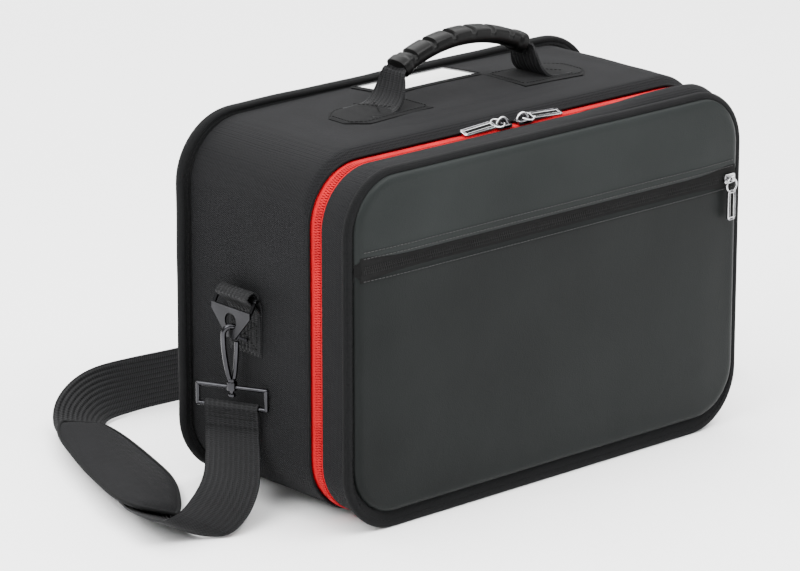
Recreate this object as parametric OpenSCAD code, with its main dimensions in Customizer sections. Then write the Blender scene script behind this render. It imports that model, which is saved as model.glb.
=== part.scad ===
// Flight bag: a boarded main compartment, a front lid on a zip, a leatherette pocket on the lid,
// a moulded carry handle and a padded shoulder strap on two swivel hooks.
// Frame: +X to the bag's right seen from the front, the lid faces -Y, +Z up.
// The origin is on the floor, in the middle of the bag's width and of its whole depth.

/* [Case] */
// Width of the main compartment's wall, outside
case_w = 430; // [360:1:500]
// Height of the main compartment's wall, outside
case_h = 292; // [250:1:340]
// Radius of the main compartment's long edges
case_r = 50; // [40:1:60]
// Depth of the whole bag between the faces of its two bindings
bag_d = 195; // [170:1:240]

/* [Lid] */
// Width of the lid's wall, outside
lid_w = 426; // [356:1:496]
// Height of the lid's wall, outside
lid_h = 283; // [240:1:330]
// Radius of the lid's long edges
lid_r = 48; // [38:1:58]
// Depth of the lid, from its binding's face to the middle of the zip
lid_d = 36; // [32:1:60]
// Width of the fabric hinge between the two ends of the zip
hinge_w = 326; // [240:1:326]

/* [Bindings] */
// How far the rear binding stands out of the case at the sides
rear_proud = 10; // [6:1:16]
// Height of the rear binding's outline
rear_rim_h = 304; // [302:1:350]
// Depth of the rear binding
rear_binding_d = 9; // [6:0.5:14]
// Width of the front binding's outline
front_rim_w = 430; // [420:1:500]
// Height of the front binding's outline
front_rim_h = 292; // [288:1:340]
// Corner radius of the front binding
front_rim_r = 50; // [40:1:60]
// Depth of the front binding
front_binding_d = 6; // [5:0.5:8]

/* [Cloth and boards] */
// Thickness of the outer fabric
fabric_t = 1.6; // [1:0.1:2.4]
// Thickness of the stiffener boards
board_t = 3; // [2:0.1:5]
// Thickness of the lining
lining_t = 1.2; // [0.6:0.1:2]
// Clearance between layers that are sewn together
seam = 0.1; // [0.05:0.05:0.3]

/* [Zip] */
// Width of the closed chain of teeth
chain_w = 7; // [5:0.5:10]
// Gap between the two halves of the zip
chain_gap = 1.6; // [1.4:0.1:2.4]
// Height of the teeth
coil_t = 1.9; // [1.2:0.1:3]
// Thickness of the zip's tape
tape_t = 1; // [0.6:0.1:1.6]
// Plain tape that shows behind the teeth
tape_show = 7.5; // [3:0.5:12]
// Tape that is sewn in under the fabric's edge
tape_sewn = 6.5; // [4:0.5:12]
// Place of the left slider along the bag's width
slider_left_x = -20; // [-100:1:-18]
// Place of the right slider along the bag's width
slider_right_x = 2; // [0:1:100]
// Length of a slider's body
slider_l = 15; // [12:0.5:18]
// Width of a slider's body
slider_w = 11; // [9:0.5:14]
// Length of a zip pull's tab
pull_l = 33; // [20:1:45]
// Width of a zip pull's tab
pull_w = 9; // [7:0.5:12]

/* [Front pocket] */
// Width of the binding beside the leatherette panels
panel_side = 7; // [5:0.5:15]
// Height of the binding below the leatherette panels
panel_bottom = 14; // [8:0.5:24]
// Height of the binding above the leatherette panels
panel_top = 5; // [4:0.5:15]
// Corner radius of the leatherette panels
panel_r = 42; // [34:1:50]
// How far the leatherette panels stand out of the binding
panel_bulge = 6.5; // [3:0.5:10]
// Thickness of the leatherette
leather_t = 1.5; // [1:0.1:2.5]
// Height of the middle of the pocket's zip above the floor
pocket_z = 217; // [180:1:240]
// Gap between the two panels at the pocket's zip
pocket_gap = 12; // [10:0.5:16]

/* [Handle] */
// Distance of the handle behind the origin
handle_y = 17; // [6:1:26]
// Distance between the ends of the grip
grip_chord = 132; // [100:1:160]
// Rise of the grip's middle over its ends
grip_rise = 16; // [10:1:24]
// Width of the grip
grip_w = 20; // [16:1:28]
// Thickness of the grip
grip_t = 16; // [12:1:22]
// Height of the handle's pivot above its patches
neck_r = 10; // [8:0.5:12]
// Height of the grip's ends above the pivot
neck_h = 22; // [16:1:30]
// Length of a handle patch
patch_l = 80; // [60:1:100]
// Width of a handle patch
patch_w = 50; // [44:1:54]
// Thickness of a handle patch
patch_t = 2; // [1:0.5:3]

/* [Label window] */
// Width of the label window's frame
label_w = 104; // [80:1:120]
// Depth of the label window's frame
label_d = 50; // [40:1:50]
// Width of the frame's border
label_border = 6; // [4:0.5:10]

/* [Strap and hooks] */
// Width of the shoulder strap's webbing
strap_w = 46; // [38:1:50]
// Thickness of the webbing
strap_t = 2; // [1.5:0.1:2.4]
// Distance of the strap hooks behind the origin
anchor_y = 27; // [16:1:36]
// Height of the strap rings' bars above the floor
anchor_z = 174; // [168:1:190]
// Width of the sewn webbing that holds a ring
anchor_w = 40; // [30:1:44]
// Radius of the rings' and loops' wire
wire_r = 1.8; // [1.4:0.1:2.2]
// Width of the shoulder pad at its middle
pad_w = 68; // [56:1:76]
// Thickness of the shoulder pad
pad_t = 8; // [6:0.5:9]

/* [Hidden] */
$fn = 64;

// Faces and heights that the pieces share
mid_y = 6;
front_y = mid_y - bag_d / 2;
rear_y = mid_y + bag_d / 2;
zip_y = front_y + lid_d;
front_mid = front_rim_h / 2;
rear_mid = rear_rim_h / 2;
case_mid = rear_mid - 1;
lid_mid = front_mid + 1.5;
case_top = case_mid + case_h / 2;
lid_top = lid_mid + lid_h / 2;
case_side = case_w / 2;
case_front = zip_y + chain_w / 2 + tape_show;
hem_back = case_front + tape_sewn;
rear_inner = rear_y - fabric_t - seam;
case_back = rear_inner - board_t - seam;
lid_back = zip_y - chain_w / 2 - 0.5;
lid_front = front_y + front_binding_d + seam;
board_face = lid_front + board_t + seam;

// Insets of the layers from the outside of the fabric
under_fabric = fabric_t + seam;
under_board = under_fabric + board_t + seam;
under_tape = under_fabric + tape_t + seam;
under_lid_board = under_tape + board_t + seam;
lid_board_back = zip_y - 8.5;

// Leatherette panels
panel_w = front_rim_w - 2 * panel_side;
panel_h = front_rim_h - panel_bottom - panel_top;
panel_mid = panel_bottom + panel_h / 2;
panel_face = front_y - panel_bulge;
panel_back = lid_front - seam;
pocket_back_t = 0.9;
pocket_zip_w = panel_w - 14;
pocket_tape_face = panel_face + leather_t + seam;

// Sliders
slider_gap = 0.9;
slider_plate = 1.8;
slider_top = lid_top - under_fabric + coil_t + seam + slider_gap + slider_plate;
slider_low = lid_top - under_tape - slider_gap;
pull_axis = slider_top + 2;
pull_pin_r = 1.3;
pull_bore_r = 1.6;
pull_wire_r = 1.1;
pull_arm = 9;
pull_droop = 4;

// Handle
patch_top = case_top + seam + patch_t;
handle_z = patch_top + neck_r + 0.5;
grip_end_z = handle_z + neck_h;
grip_arc_r = (pow(grip_chord / 2, 2) + pow(grip_rise, 2)) / (2 * grip_rise);
grip_angle = asin(grip_chord / 2 / grip_arc_r);
neck_t = 4;
neck_x = grip_chord / 2 + neck_t / 2 + seam;
patch_inner = neck_x - 18;

// Label window
label_y = rear_y - rear_binding_d - label_d / 2 - 1.5;

// Strap hooks, from the ring's bar down to the strap
roll_r = 7.5;
ring_bar_x = case_side + roll_r + strap_t;
chain_x = ring_bar_x + 6.5;
hole_r = 7;
hole_z = anchor_z - 20;
plate_t = 1.6;
claw_z = hole_z - hole_r + 2.9;
claw_r = 6.2;
claw_low = claw_z - 2 * claw_r;
boss_z = claw_z - 50;
loop_w = strap_w + 16;
loop_h = 16;
loop_low = boss_z - loop_h;
hook_yaw = -39;
loop_yaw = -63;
fold_r = wire_r + 0.2 + strap_t;
end_z = loop_low - 16;

// The strap's route on the left, seen from above, as [away from the case's side, y, z, yaw, tilt].
// It hangs from the loop, turns on the floor and runs to the back of the bag.
hang_left = [
    [chain_x - case_side, anchor_y, end_z - 1.5, 63, 0],
    [chain_x - case_side + 1, anchor_y - 1, end_z - 8, 63, 0],
    [25, anchor_y - 11, 46, 60, 2],
    [38, anchor_y - 24, 32, 54, 8],
    [58, anchor_y - 36, 21, 45, 20],
    [82, anchor_y - 44, 14, 25, 28],
    [100, anchor_y - 36, 13, 0, 28],
    [98, anchor_y - 12, 12, 0, 24]
];
floor_left = [
    [84, front_y + 140, 10, 10, 14],
    [59, front_y + 190, 8, 16, 9],
    [38, rear_y + 48, 7, 18, 9],
    [14, rear_y + 112, 7, 20, 9],
    [0, rear_y + 143, 9, 24, 14]
];
rise_left = [
    [-13, rear_y + 155, 16.5, 45, 38],
    [-35, rear_y + 160, 23, 75, 62],
    [-70, rear_y + 158, 25, 86, 82]
];
// The strap's route behind the bag and up to the hook on the right
behind = [
    [-120, rear_y + 154, 25, 88, 88],
    [-215, rear_y + 150, 25, 90, 90]
];
hang_right = [
    [chain_x - case_side, anchor_y, end_z - 1.5, 63, 0],
    [chain_x - case_side + 1, anchor_y - 1, end_z - 8, 63, 0],
    [24, anchor_y - 9, 46, 60, 2],
    [35, anchor_y - 19, 31, 52, 8],
    [50, anchor_y - 27, 18.5, 42, 18],
    [66, anchor_y - 29, 13.5, 25, 24],
    [76, anchor_y - 16, 12, 8, 22],
    [77, anchor_y + 6, 10, 5, 14]
];
floor_right = [
    [70, anchor_y + 34, 7.5, 10, 5],
    [58, front_y + 190, 7, 17, 2],
    [38, rear_y + 48, 6, 20, 6],
    [14, rear_y + 112, 7, 20, 9],
    [0, rear_y + 143, 9, 24, 14]
];

// Route helpers: a station becomes [x, y, z, yaw, tilt] in the bag's frame
function on_left(s) = [-case_side - s[0], s[1], s[2], s[3], s[4]];
function on_right(s) = [case_side + s[0], s[1], s[2], 180 - s[3], s[4]];
function reversed(list) = [for (i = [len(list) - 1 : -1 : 0]) list[i]];
left_route = [for (s = concat(hang_left, floor_left, rise_left, behind)) on_left(s)];
right_route = [for (s = reversed(concat(hang_right, floor_right, rise_left, [behind[0]]))) on_right(s)];
whole_route = concat(left_route, right_route);

// A smooth curve through the stations, with steps points between each pair
function spline(a, b, c, d, t) =
    0.5 * (2 * b + (c - a) * t + (2 * a - 5 * b + 4 * c - d) * t * t + (3 * b - a - 3 * c + d) * t * t * t);
function smooth(route, steps) = [
    for (i = [0 : len(route) - 2])
        for (k = [0 : steps - 1])
            spline(route[max(i - 1, 0)], route[i], route[i + 1], route[min(i + 2, len(route) - 1)], k / steps),
    route[len(route) - 1]
];
function place(s) = [s[0], s[1], s[2]];
function across(s) = [cos(s[3]) * cos(s[4]), -sin(s[3]) * cos(s[4]), -sin(s[4])];
function unit(v) = v / norm(v);
function heading(curve, i) =
    unit(place(curve[min(i + 1, len(curve) - 1)]) - place(curve[max(i - 1, 0)]));
function face_normal(curve, i) = unit(cross(across(curve[i]), heading(curve, i)));

// Plain shapes
module rounded(w, h, r) {
    square([w - 2 * r, h], center = true);
    square([w, h - 2 * r], center = true);
    for (x = [-1, 1], y = [-1, 1])
        translate([x * (w / 2 - r), y * (h / 2 - r)])
            circle(r);
}

module outline(w, h, r, mid, inset) {
    translate([0, mid])
        rounded(w - 2 * inset, h - 2 * inset, r - inset);
}

module case_outline(inset = 0) {
    outline(case_w, case_h, case_r, case_mid, inset);
}

module lid_outline(inset = 0) {
    outline(lid_w, lid_h, lid_r, lid_mid, inset);
}

module panel_outline(inset = 0) {
    outline(panel_w, panel_h, panel_r, panel_mid, inset);
}

// Extrudes an upright outline from one depth to another
module between(y0, y1) {
    translate([0, y1, 0])
        rotate([90, 0, 0])
            linear_extrude(y1 - y0)
                children();
}

// Keeps what lies outside the fabric hinge: both sides, the top and the lower corners
module around_lid() {
    difference() {
        children();
        translate([-hinge_w / 2, -1])
            square([hinge_w, lid_mid]);
    }
}

module case_band(inset, t) {
    difference() {
        case_outline(inset);
        case_outline(inset + t);
    }
}

module lid_band(inset, t) {
    around_lid()
        difference() {
            lid_outline(inset);
            lid_outline(inset + t);
        }
}

// A round rod from one point to another, with round ends
module rod(a, b, r) {
    d = b - a;
    translate(a)
        rotate([0, acos(d[2] / norm(d)), atan2(d[1], d[0])])
            cylinder(h = norm(d), r = r);
    for (p = [a, b])
        translate(p)
            sphere(r);
}

// Everything at a side is drawn on the left, and mirrored for the right
module on_side(side) {
    if (side < 0)
        children();
    else
        mirror([1, 0, 0])
            children();
}

// A flat band along a smooth curve: width and thickness at each point, lifted off the curve
module band(curve, widths, thick, lift) {
    count = len(curve);
    corners = [
        for (i = [0 : count - 1])
            let (c = place(curve[i]) + face_normal(curve, i) * lift,
                 w = across(curve[i]) * widths[i] / 2,
                 n = face_normal(curve, i) * thick[i] / 2)
                for (p = [c - w - n, c + w - n, c + w + n, c - w + n]) p
    ];
    sides = [
        for (i = [0 : count - 2], k = [0 : 3])
            let (a = 4 * i + k, b = 4 * i + (k + 1) % 4)
                for (f = [[a, b, a + 4], [b, b + 4, a + 4]]) f
    ];
    last = 4 * (count - 1);
    ends = [[0, 2, 1], [0, 3, 2], [last, last + 1, last + 2], [last, last + 2, last + 3]];
    polyhedron(points = corners, faces = concat(sides, ends));
}

// Main compartment
module rear_panel() {
    color("#26282a")
        between(rear_y - fabric_t, rear_y)
            case_outline();
}

module rear_board() {
    color("#55585a")
        between(rear_inner - board_t, rear_inner)
            case_outline(under_fabric);
}

module rear_binding() {
    color("#1b1c1e")
        between(rear_y - rear_binding_d, rear_y)
            difference() {
                outline(case_w + 2 * rear_proud, rear_rim_h, case_r + 6, rear_mid, 0);
                case_outline(-seam);
            }
}

module case_gusset() {
    color("#2b2d2f") {
        between(case_front, rear_inner)
            case_band(0, fabric_t);
        // Folded edge over the zip's tape
        between(case_front, hem_back)
            difference() {
                case_outline(fabric_t);
                lid_outline(under_fabric - seam);
            }
    }
}

module case_board() {
    color("#55585a")
        between(hem_back + seam, case_back)
            case_band(under_fabric, board_t);
}

module case_lining() {
    color("#3a3c40") {
        between(hem_back + seam, case_back - lining_t)
            case_band(under_board, lining_t);
        between(case_back - lining_t, case_back)
            case_outline(under_board);
    }
}

module base_board() {
    board_z = case_mid - case_h / 2 + under_board + lining_t + seam;
    color("#303234")
        translate([-(case_side - case_r), hem_back + 2, board_z])
            cube([2 * (case_side - case_r), case_back - lining_t - hem_back - 4, 2.5]);
}

module hinge_panel() {
    hinge_t = fabric_t + lining_t;
    color("#26282a")
        translate([-hinge_w / 2 + 0.3, board_face + 0.6, lid_mid - lid_h / 2])
            cube([hinge_w - 0.6, case_front - seam - board_face - 0.6, hinge_t]);
}

// Zip round the lid
module case_zip_tape() {
    color("#e0343c")
        between(zip_y + chain_gap / 2, hem_back)
            lid_band(under_fabric, tape_t);
}

module case_zip_teeth() {
    color("#e0343c")
        between(zip_y + chain_gap / 2, zip_y + chain_w / 2)
            lid_band(under_fabric - seam - coil_t, coil_t);
}

module lid_zip_tape() {
    color("#e0343c")
        between(lid_back - 12, zip_y - chain_gap / 2)
            lid_band(under_fabric, tape_t);
}

module lid_zip_teeth() {
    color("#e0343c")
        between(zip_y - chain_w / 2, zip_y - chain_gap / 2)
            lid_band(under_fabric - seam - coil_t, coil_t);
}

// Lid
module lid_gusset() {
    color("#2b2d2f")
        between(lid_front, lid_back)
            lid_band(0, fabric_t);
}

module front_board() {
    color("#55585a")
        between(lid_front, lid_front + board_t)
            lid_outline(under_fabric);
}

module lid_board() {
    color("#55585a")
        between(board_face, lid_board_back)
            lid_band(under_tape, board_t);
}

module lid_lining() {
    color("#3a3c40") {
        between(board_face, board_face + lining_t)
            lid_outline(under_lid_board);
        between(board_face + lining_t, lid_board_back)
            lid_band(under_lid_board, lining_t);
    }
}

module front_binding() {
    color("#1b1c1e")
        between(front_y, front_y + front_binding_d)
            difference() {
                outline(front_rim_w, front_rim_h, front_rim_r, front_mid, 0);
                panel_outline();
            }
}

// A leatherette panel: its face, and its turned edge behind the binding
module leatherette(z0, z1) {
    inset = 0.2;
    module cut_to_height() {
        intersection() {
            children();
            translate([-panel_w, z0])
                square([2 * panel_w, z1 - z0]);
        }
    }
    between(panel_face, panel_face + leather_t)
        cut_to_height()
            panel_outline(inset);
    between(panel_face + leather_t, panel_back)
        cut_to_height()
            difference() {
                panel_outline(inset);
                panel_outline(inset + leather_t);
            }
}

module upper_panel() {
    color("#3c4140")
        leatherette(pocket_z + pocket_gap / 2, front_rim_h);
}

module lower_panel() {
    color("#343837")
        leatherette(0, pocket_z - pocket_gap / 2);
}

module upper_padding() {
    color("#8a8a86")
        between(pocket_tape_face + tape_t + seam, panel_back - pocket_back_t - seam)
            intersection() {
                panel_outline(2 * leather_t);
                translate([-panel_w, pocket_z + pocket_gap])
                    square([2 * panel_w, panel_h]);
            }
}

module pocket_lining() {
    color("#3a3c40")
        between(panel_back - pocket_back_t, panel_back)
            panel_outline(0.2 + leather_t + seam);
}

module pocket_zip_tape() {
    color("#141516")
        translate([-pocket_zip_w / 2, pocket_tape_face, pocket_z - pocket_gap / 2 - 4])
            cube([pocket_zip_w, tape_t, pocket_gap + 8]);
}

module pocket_zip_teeth() {
    teeth_w = 6;
    teeth_t = 1.4;
    color("#141516")
        translate([-pocket_zip_w / 2, pocket_tape_face - seam - teeth_t, pocket_z - teeth_w / 2])
            cube([pocket_zip_w, teeth_t, teeth_w]);
}

pocket_slider_x = pocket_zip_w / 2 - 7;
pocket_slider_y = pocket_tape_face - seam - 1.4 - 0.3;
pocket_pull_y = pocket_slider_y - slider_plate - 2;

module pocket_slider() {
    color("#c9ccd0")
        translate([pocket_slider_x, pocket_slider_y, pocket_z]) {
            translate([0, -slider_plate, 0])
                rotate([-90, 0, 0])
                    linear_extrude(slider_plate)
                        rounded(12, 8, 2);
            // Bridge with the bore that the pull's pin turns in
            translate([0, -slider_plate - 2, 0])
                rotate([0, 90, 0])
                    difference() {
                        union() {
                            cylinder(h = 3, r = 2.6, center = true);
                            translate([-2.6, 0, -1.5])
                                cube([5.2, 2, 3]);
                        }
                        cylinder(h = 4, r = pull_bore_r, center = true);
                    }
        }
}

// A zip pull at its pin: pin and arms of wire, and the tab, pointing along -Z
module pull(tab_l) {
    reach = pull_w / 2 - pull_wire_r;
    rotate([0, 90, 0])
        cylinder(h = 2 * reach, r = pull_pin_r, center = true);
    for (x = [-reach, reach])
        rod([x, 0, 0], [x, 0, -pull_arm], pull_wire_r);
    translate([-pull_w / 2, -1, -pull_arm - tab_l])
        cube([pull_w, 2, tab_l]);
}

module pocket_pull() {
    color("#c9ccd0")
        translate([pocket_slider_x, pocket_pull_y, pocket_z])
            pull(pull_l - 6);
}

// Sliders on the top of the bag
module slider(x) {
    translate([x, zip_y, 0]) {
        translate([0, 0, slider_top - slider_plate])
            linear_extrude(slider_plate)
                rounded(slider_l, slider_w, 2.5);
        translate([0, 0, slider_low - slider_plate])
            linear_extrude(slider_plate)
                rounded(slider_l, slider_w, 2.5);
        // Post between the two tapes
        translate([-slider_l / 4, -(chain_gap - 0.6) / 2, slider_low - slider_plate])
            cube([slider_l / 2, chain_gap - 0.6, slider_top - slider_low]);
        // Bridge with the bore that the pull's pin turns in
        translate([0, 0, pull_axis])
            rotate([90, 0, 0])
                difference() {
                    union() {
                        cylinder(h = 3, r = 2.8, center = true);
                        translate([-2.8, -2, -1.5])
                            cube([5.6, 2, 3]);
                    }
                    cylinder(h = 4, r = pull_bore_r, center = true);
                }
    }
}

module slider_left() {
    color("#9a9da1")
        slider(slider_left_x);
}

module slider_right() {
    color("#9a9da1")
        slider(slider_right_x);
}

module top_pull(x, side) {
    translate([x, zip_y, pull_axis])
        rotate([0, -side * (90 - pull_droop), 0])
            rotate([0, 0, 90])
                pull(pull_l);
}

module pull_left() {
    color("#c9ccd0")
        top_pull(slider_left_x, -1);
}

module pull_right() {
    color("#c9ccd0")
        top_pull(slider_right_x, 1);
}

// Handle
module handle_patch(side) {
    foot_w = 38;
    foot_h = 12;
    foot_t = 1.5;
    on_side(side) {
        translate([0, handle_y, case_top + seam])
            linear_extrude(patch_t)
                polygon([
                    [-patch_inner, -patch_w / 2], [-patch_inner, patch_w / 2],
                    [-patch_inner - patch_l + 14, patch_w / 2], [-patch_inner - patch_l, patch_w / 5],
                    [-patch_inner - patch_l, -patch_w / 5], [-patch_inner - patch_l + 14, -patch_w / 2]
                ]);
        // Two leaves of webbing that hold the handle's neck between them
        for (x = [-neck_x - neck_t / 2 - 0.3 - foot_t, -neck_x + neck_t / 2 + 0.3])
            translate([x, handle_y - foot_w / 2, patch_top])
                cube([foot_t, foot_w, foot_h]);
    }
}

module handle_patch_left() {
    color("#232527")
        handle_patch(-1);
}

module handle_patch_right() {
    color("#232527")
        handle_patch(1);
}

module handle_webbing(side) {
    on_side(side)
        translate([-neck_x, handle_y, handle_z])
            rotate([0, 90, 0]) {
                cylinder(h = neck_t, r = neck_r, center = true);
                translate([-neck_h - grip_t / 2, -neck_r, -neck_t / 2])
                    cube([neck_h + grip_t / 2, 2 * neck_r, neck_t]);
            }
}

module handle_webbing_left() {
    color("#232527")
        handle_webbing(-1);
}

module handle_webbing_right() {
    color("#232527")
        handle_webbing(1);
}

module handle_grip() {
    grooves = 9;
    groove_w = 3;
    groove_t = 2.5;
    swept = grip_angle + 3;
    color("#1f2122")
        translate([0, handle_y, grip_end_z + grip_rise - grip_arc_r])
            rotate([90, 0, 0])
                difference() {
                    rotate([0, 0, 90 - swept])
                        rotate_extrude(angle = 2 * swept)
                            translate([grip_arc_r, 0])
                                rounded(grip_t, grip_w, 6);
                    for (i = [0 : grooves - 1])
                        rotate([0, 0, (i - (grooves - 1) / 2) * 2 * grip_angle / (grooves + 1)])
                            translate([-groove_w / 2, grip_arc_r + grip_t / 2 - groove_t, -grip_w])
                                cube([groove_w, 2 * groove_t, 2 * grip_w]);
                    // Upright ends, against the handle's webbing
                    for (x = [-grip_chord / 2 - 40, grip_chord / 2])
                        translate([x, 0, -grip_w])
                            cube([40, 2 * grip_arc_r, 2 * grip_w]);
                }
}

// Label window
module label_frame() {
    color("#1b1c1e")
        translate([0, label_y, case_top + seam])
            linear_extrude(2)
                difference() {
                    rounded(label_w, label_d, 4);
                    square([label_w - 2 * label_border, label_d - 2 * label_border], center = true);
                }
}

module label_card() {
    color("#f2f2ee")
        translate([0, label_y, case_top + seam + 0.2])
            cube([label_w - 2 * label_border - 1, label_d - 2 * label_border - 1, 0.4], center = true);
}

module label_window() {
    color("#dfe6ea", 0.4)
        translate([0, label_y, case_top + seam + 0.8])
            cube([label_w - 2 * label_border - 0.2, label_d - 2 * label_border - 0.2, 0.6], center = true);
}

// Strap hardware
module anchor(side) {
    tab_h = 50;
    on_side(side)
        difference() {
            union() {
                translate([-case_side - seam - strap_t, anchor_y - anchor_w / 2, anchor_z - tab_h])
                    cube([strap_t, anchor_w, tab_h]);
                translate([-ring_bar_x, anchor_y, anchor_z])
                    rotate([90, 0, 0])
                        cylinder(h = anchor_w, r = roll_r, center = true);
            }
            translate([-ring_bar_x, anchor_y, anchor_z])
                rotate([90, 0, 0])
                    cylinder(h = anchor_w + 2, r = wire_r + 0.4, center = true);
        }
}

module anchor_left() {
    color("#202224")
        anchor(-1);
}

module anchor_right() {
    color("#202224")
        anchor(1);
}

module ring(side) {
    half = anchor_w / 2 + wire_r + 0.5;
    plate_top = anchor_z - roll_r - 1;
    plate_low = hole_z - hole_r - 6.6;
    on_side(side)
        translate([0, anchor_y, 0]) {
            translate([-ring_bar_x, half + wire_r + 0.4, anchor_z])
                rotate([90, 0, 0])
                    cylinder(h = 2 * half + 2 * wire_r + 0.8, r = wire_r);
            // Legs from the bar down to the plate
            for (y = [-half, half])
                between(y - 1.5, y + 1.5)
                    polygon([
                        [-ring_bar_x - 1.2, anchor_z], [-ring_bar_x + 1.2, anchor_z],
                        [-chain_x + plate_t / 2, plate_top - 3], [-chain_x - plate_t / 2, plate_top - 3]
                    ]);
            difference() {
                translate([-chain_x + plate_t / 2, 0, 0])
                    rotate([90, 0, -90])
                        linear_extrude(plate_t)
                            polygon([
                                [-half - 1, plate_top], [half + 1, plate_top],
                                [half + 1, plate_top - 5], [5, plate_low],
                                [-5, plate_low], [-half - 1, plate_top - 5]
                            ]);
                translate([-chain_x, 0, hole_z])
                    rotate([0, 90, 0])
                        cylinder(h = 4 * plate_t, r = hole_r, center = true);
            }
        }
}

module ring_left() {
    color("#4a4d50")
        ring(-1);
}

module ring_right() {
    color("#4a4d50")
        ring(1);
}

// Part of the claw's circle, from one angle to another, seen from the front
module claw_arc(from, to, r) {
    translate([0, 0, claw_z - claw_r])
        rotate([90, 0, 0])
            rotate([0, 0, from])
                rotate_extrude(angle = to - from)
                    translate([claw_r, 0])
                        circle(r);
}

module at_hook(side, yaw) {
    on_side(side)
        translate([-chain_x, anchor_y, 0])
            rotate([0, 0, yaw])
                children();
}

module hook(side) {
    body_top = claw_low + 1;
    body_low = boss_z + 9;
    at_hook(side, hook_yaw) {
        claw_arc(35, 312, wire_r);
        translate([0, 2.5, 0])
            rotate([90, 0, 0])
                linear_extrude(5)
                    polygon([[-6, body_top], [4.4, body_top], [2.6, body_low], [-2.6, body_low]]);
        translate([0, 0, boss_z + 3.5])
            cylinder(h = 6, r = 3.6);
        // Shank and its head, which hold the loop
        translate([0, 0, boss_z - 4])
            cylinder(h = 8, r = 1.9);
        translate([0, 0, boss_z - 5.2])
            sphere(2.8);
    }
}

module hook_left() {
    color("#5a5d60")
        hook(-1);
}

module hook_right() {
    color("#5a5d60")
        hook(1);
}

module gate(side) {
    at_hook(side, hook_yaw) {
        claw_arc(-42, 30, 1.3);
        // Thumb knob
        translate([0, 0, claw_z - claw_r])
            rod([claw_r, 0, -3], [claw_r + 4.5, 0, -5], 1.3);
        translate([claw_r + 5, 0, claw_z - claw_r - 5.2])
            sphere(2);
    }
}

module gate_left() {
    color("#c9ccd0")
        gate(-1);
}

module gate_right() {
    color("#c9ccd0")
        gate(1);
}

module strap_loop(side) {
    half = loop_w / 2 - wire_r;
    at_hook(side, loop_yaw) {
        difference() {
            union() {
                for (x = [-half, half]) {
                    rod([x, 0, boss_z], [x, 0, loop_low], wire_r);
                }
                rod([-half, 0, boss_z], [half, 0, boss_z], wire_r);
                rod([-half, 0, loop_low], [half, 0, loop_low], wire_r);
                translate([0, 0, boss_z - 2.1])
                    cylinder(h = 5.2, r = 4.2);
            }
            translate([0, 0, boss_z - 4])
                cylinder(h = 8, r = 2.2);
        }
    }
}

module strap_loop_left() {
    color("#8a8d91")
        strap_loop(-1);
}

module strap_loop_right() {
    color("#8a8d91")
        strap_loop(1);
}

// End of the strap, folded round the loop's lower wire and sewn
module strap_end(side) {
    at_hook(side, loop_yaw)
        difference() {
            union() {
                translate([0, 0, loop_low])
                    rotate([0, 90, 0])
                        cylinder(h = strap_w, r = fold_r, center = true);
                translate([-strap_w / 2, -strap_t, end_z])
                    cube([strap_w, 2 * strap_t, loop_low - end_z]);
            }
            translate([0, 0, loop_low])
                rotate([0, 90, 0])
                    cylinder(h = strap_w + 2, r = wire_r + 0.2, center = true);
        }
}

module strap_end_left() {
    color("#26282a")
        strap_end(-1);
}

module strap_end_right() {
    color("#26282a")
        strap_end(1);
}

strap_steps = 3;
strap_curve = smooth(whole_route, strap_steps);
hang_count = len(hang_left);
return_start = len(strap_curve) - 1 - (hang_count + 1) * strap_steps;

module strap_webbing() {
    color("#26282a")
        band(strap_curve, [for (s = strap_curve) strap_w], [for (s = strap_curve) strap_t], 0);
}

// The doubled length of webbing between the adjuster and the right loop
module strap_return() {
    curve = [for (i = [return_start : len(strap_curve) - 1]) strap_curve[i]];
    color("#26282a")
        band(curve, [for (s = curve) strap_w], [for (s = curve) strap_t], strap_t + 0.6);
}

module shoulder_pad() {
    first = (hang_count - 1) * strap_steps + 1;
    curve = [for (i = [first : first + 5 * strap_steps - 2]) strap_curve[i]];
    last = len(curve) - 1;
    color("#2e3133")
        band(
            curve,
            [for (i = [0 : last]) 20 + (pad_w - 20) * pow(sin(180 * (0.04 + 0.92 * i / last)), 0.6)],
            [for (i = [0 : last]) pad_t],
            (strap_t + pad_t) / 2 + 1.8
        );
}

// Slide buckle: two rails, a bar at each end over both layers, and a middle bar under them
module strap_adjuster() {
    s = on_right(floor_right[1]);
    bar_r = 1.6;
    rail_t = 2.4;
    rail_x = strap_w / 2 + 2;
    half_l = 11;
    over = 1.5 * strap_t + 0.6 + 0.8 + bar_r;
    under = strap_t / 2 + 0.8 + bar_r;
    color("#1b1c1e")
        translate([s[0], s[1], s[2]])
            rotate([0, -s[4], 180 - s[3]]) {
                for (x = [-rail_x - rail_t, rail_x])
                    translate([x, -half_l - 2, -under])
                        cube([rail_t, 2 * half_l + 4, under + over]);
                for (bar = [[-half_l, over], [0, -under], [half_l, over]])
                    translate([0, bar[0], bar[1]])
                        rotate([0, 90, 0])
                            cylinder(h = 2 * rail_x + 2 * rail_t, r = bar_r, center = true);
            }
}

rear_panel();
rear_board();
rear_binding();
case_gusset();
case_board();
case_lining();
base_board();
hinge_panel();
case_zip_tape();
case_zip_teeth();
lid_gusset();
lid_board();
lid_lining();
front_board();
front_binding();
lid_zip_tape();
lid_zip_teeth();
upper_panel();
upper_padding();
lower_panel();
pocket_lining();
pocket_zip_tape();
pocket_zip_teeth();
pocket_slider();
pocket_pull();
slider_left();
slider_right();
pull_left();
pull_right();
handle_patch_left();
handle_patch_right();
handle_webbing_left();
handle_webbing_right();
handle_grip();
label_frame();
label_window();
label_card();
anchor_left();
anchor_right();
ring_left();
ring_right();
hook_left();
hook_right();
gate_left();
gate_right();
strap_loop_left();
strap_loop_right();
strap_end_left();
strap_end_right();
strap_webbing();
strap_return();
strap_adjuster();
shoulder_pad();
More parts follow.
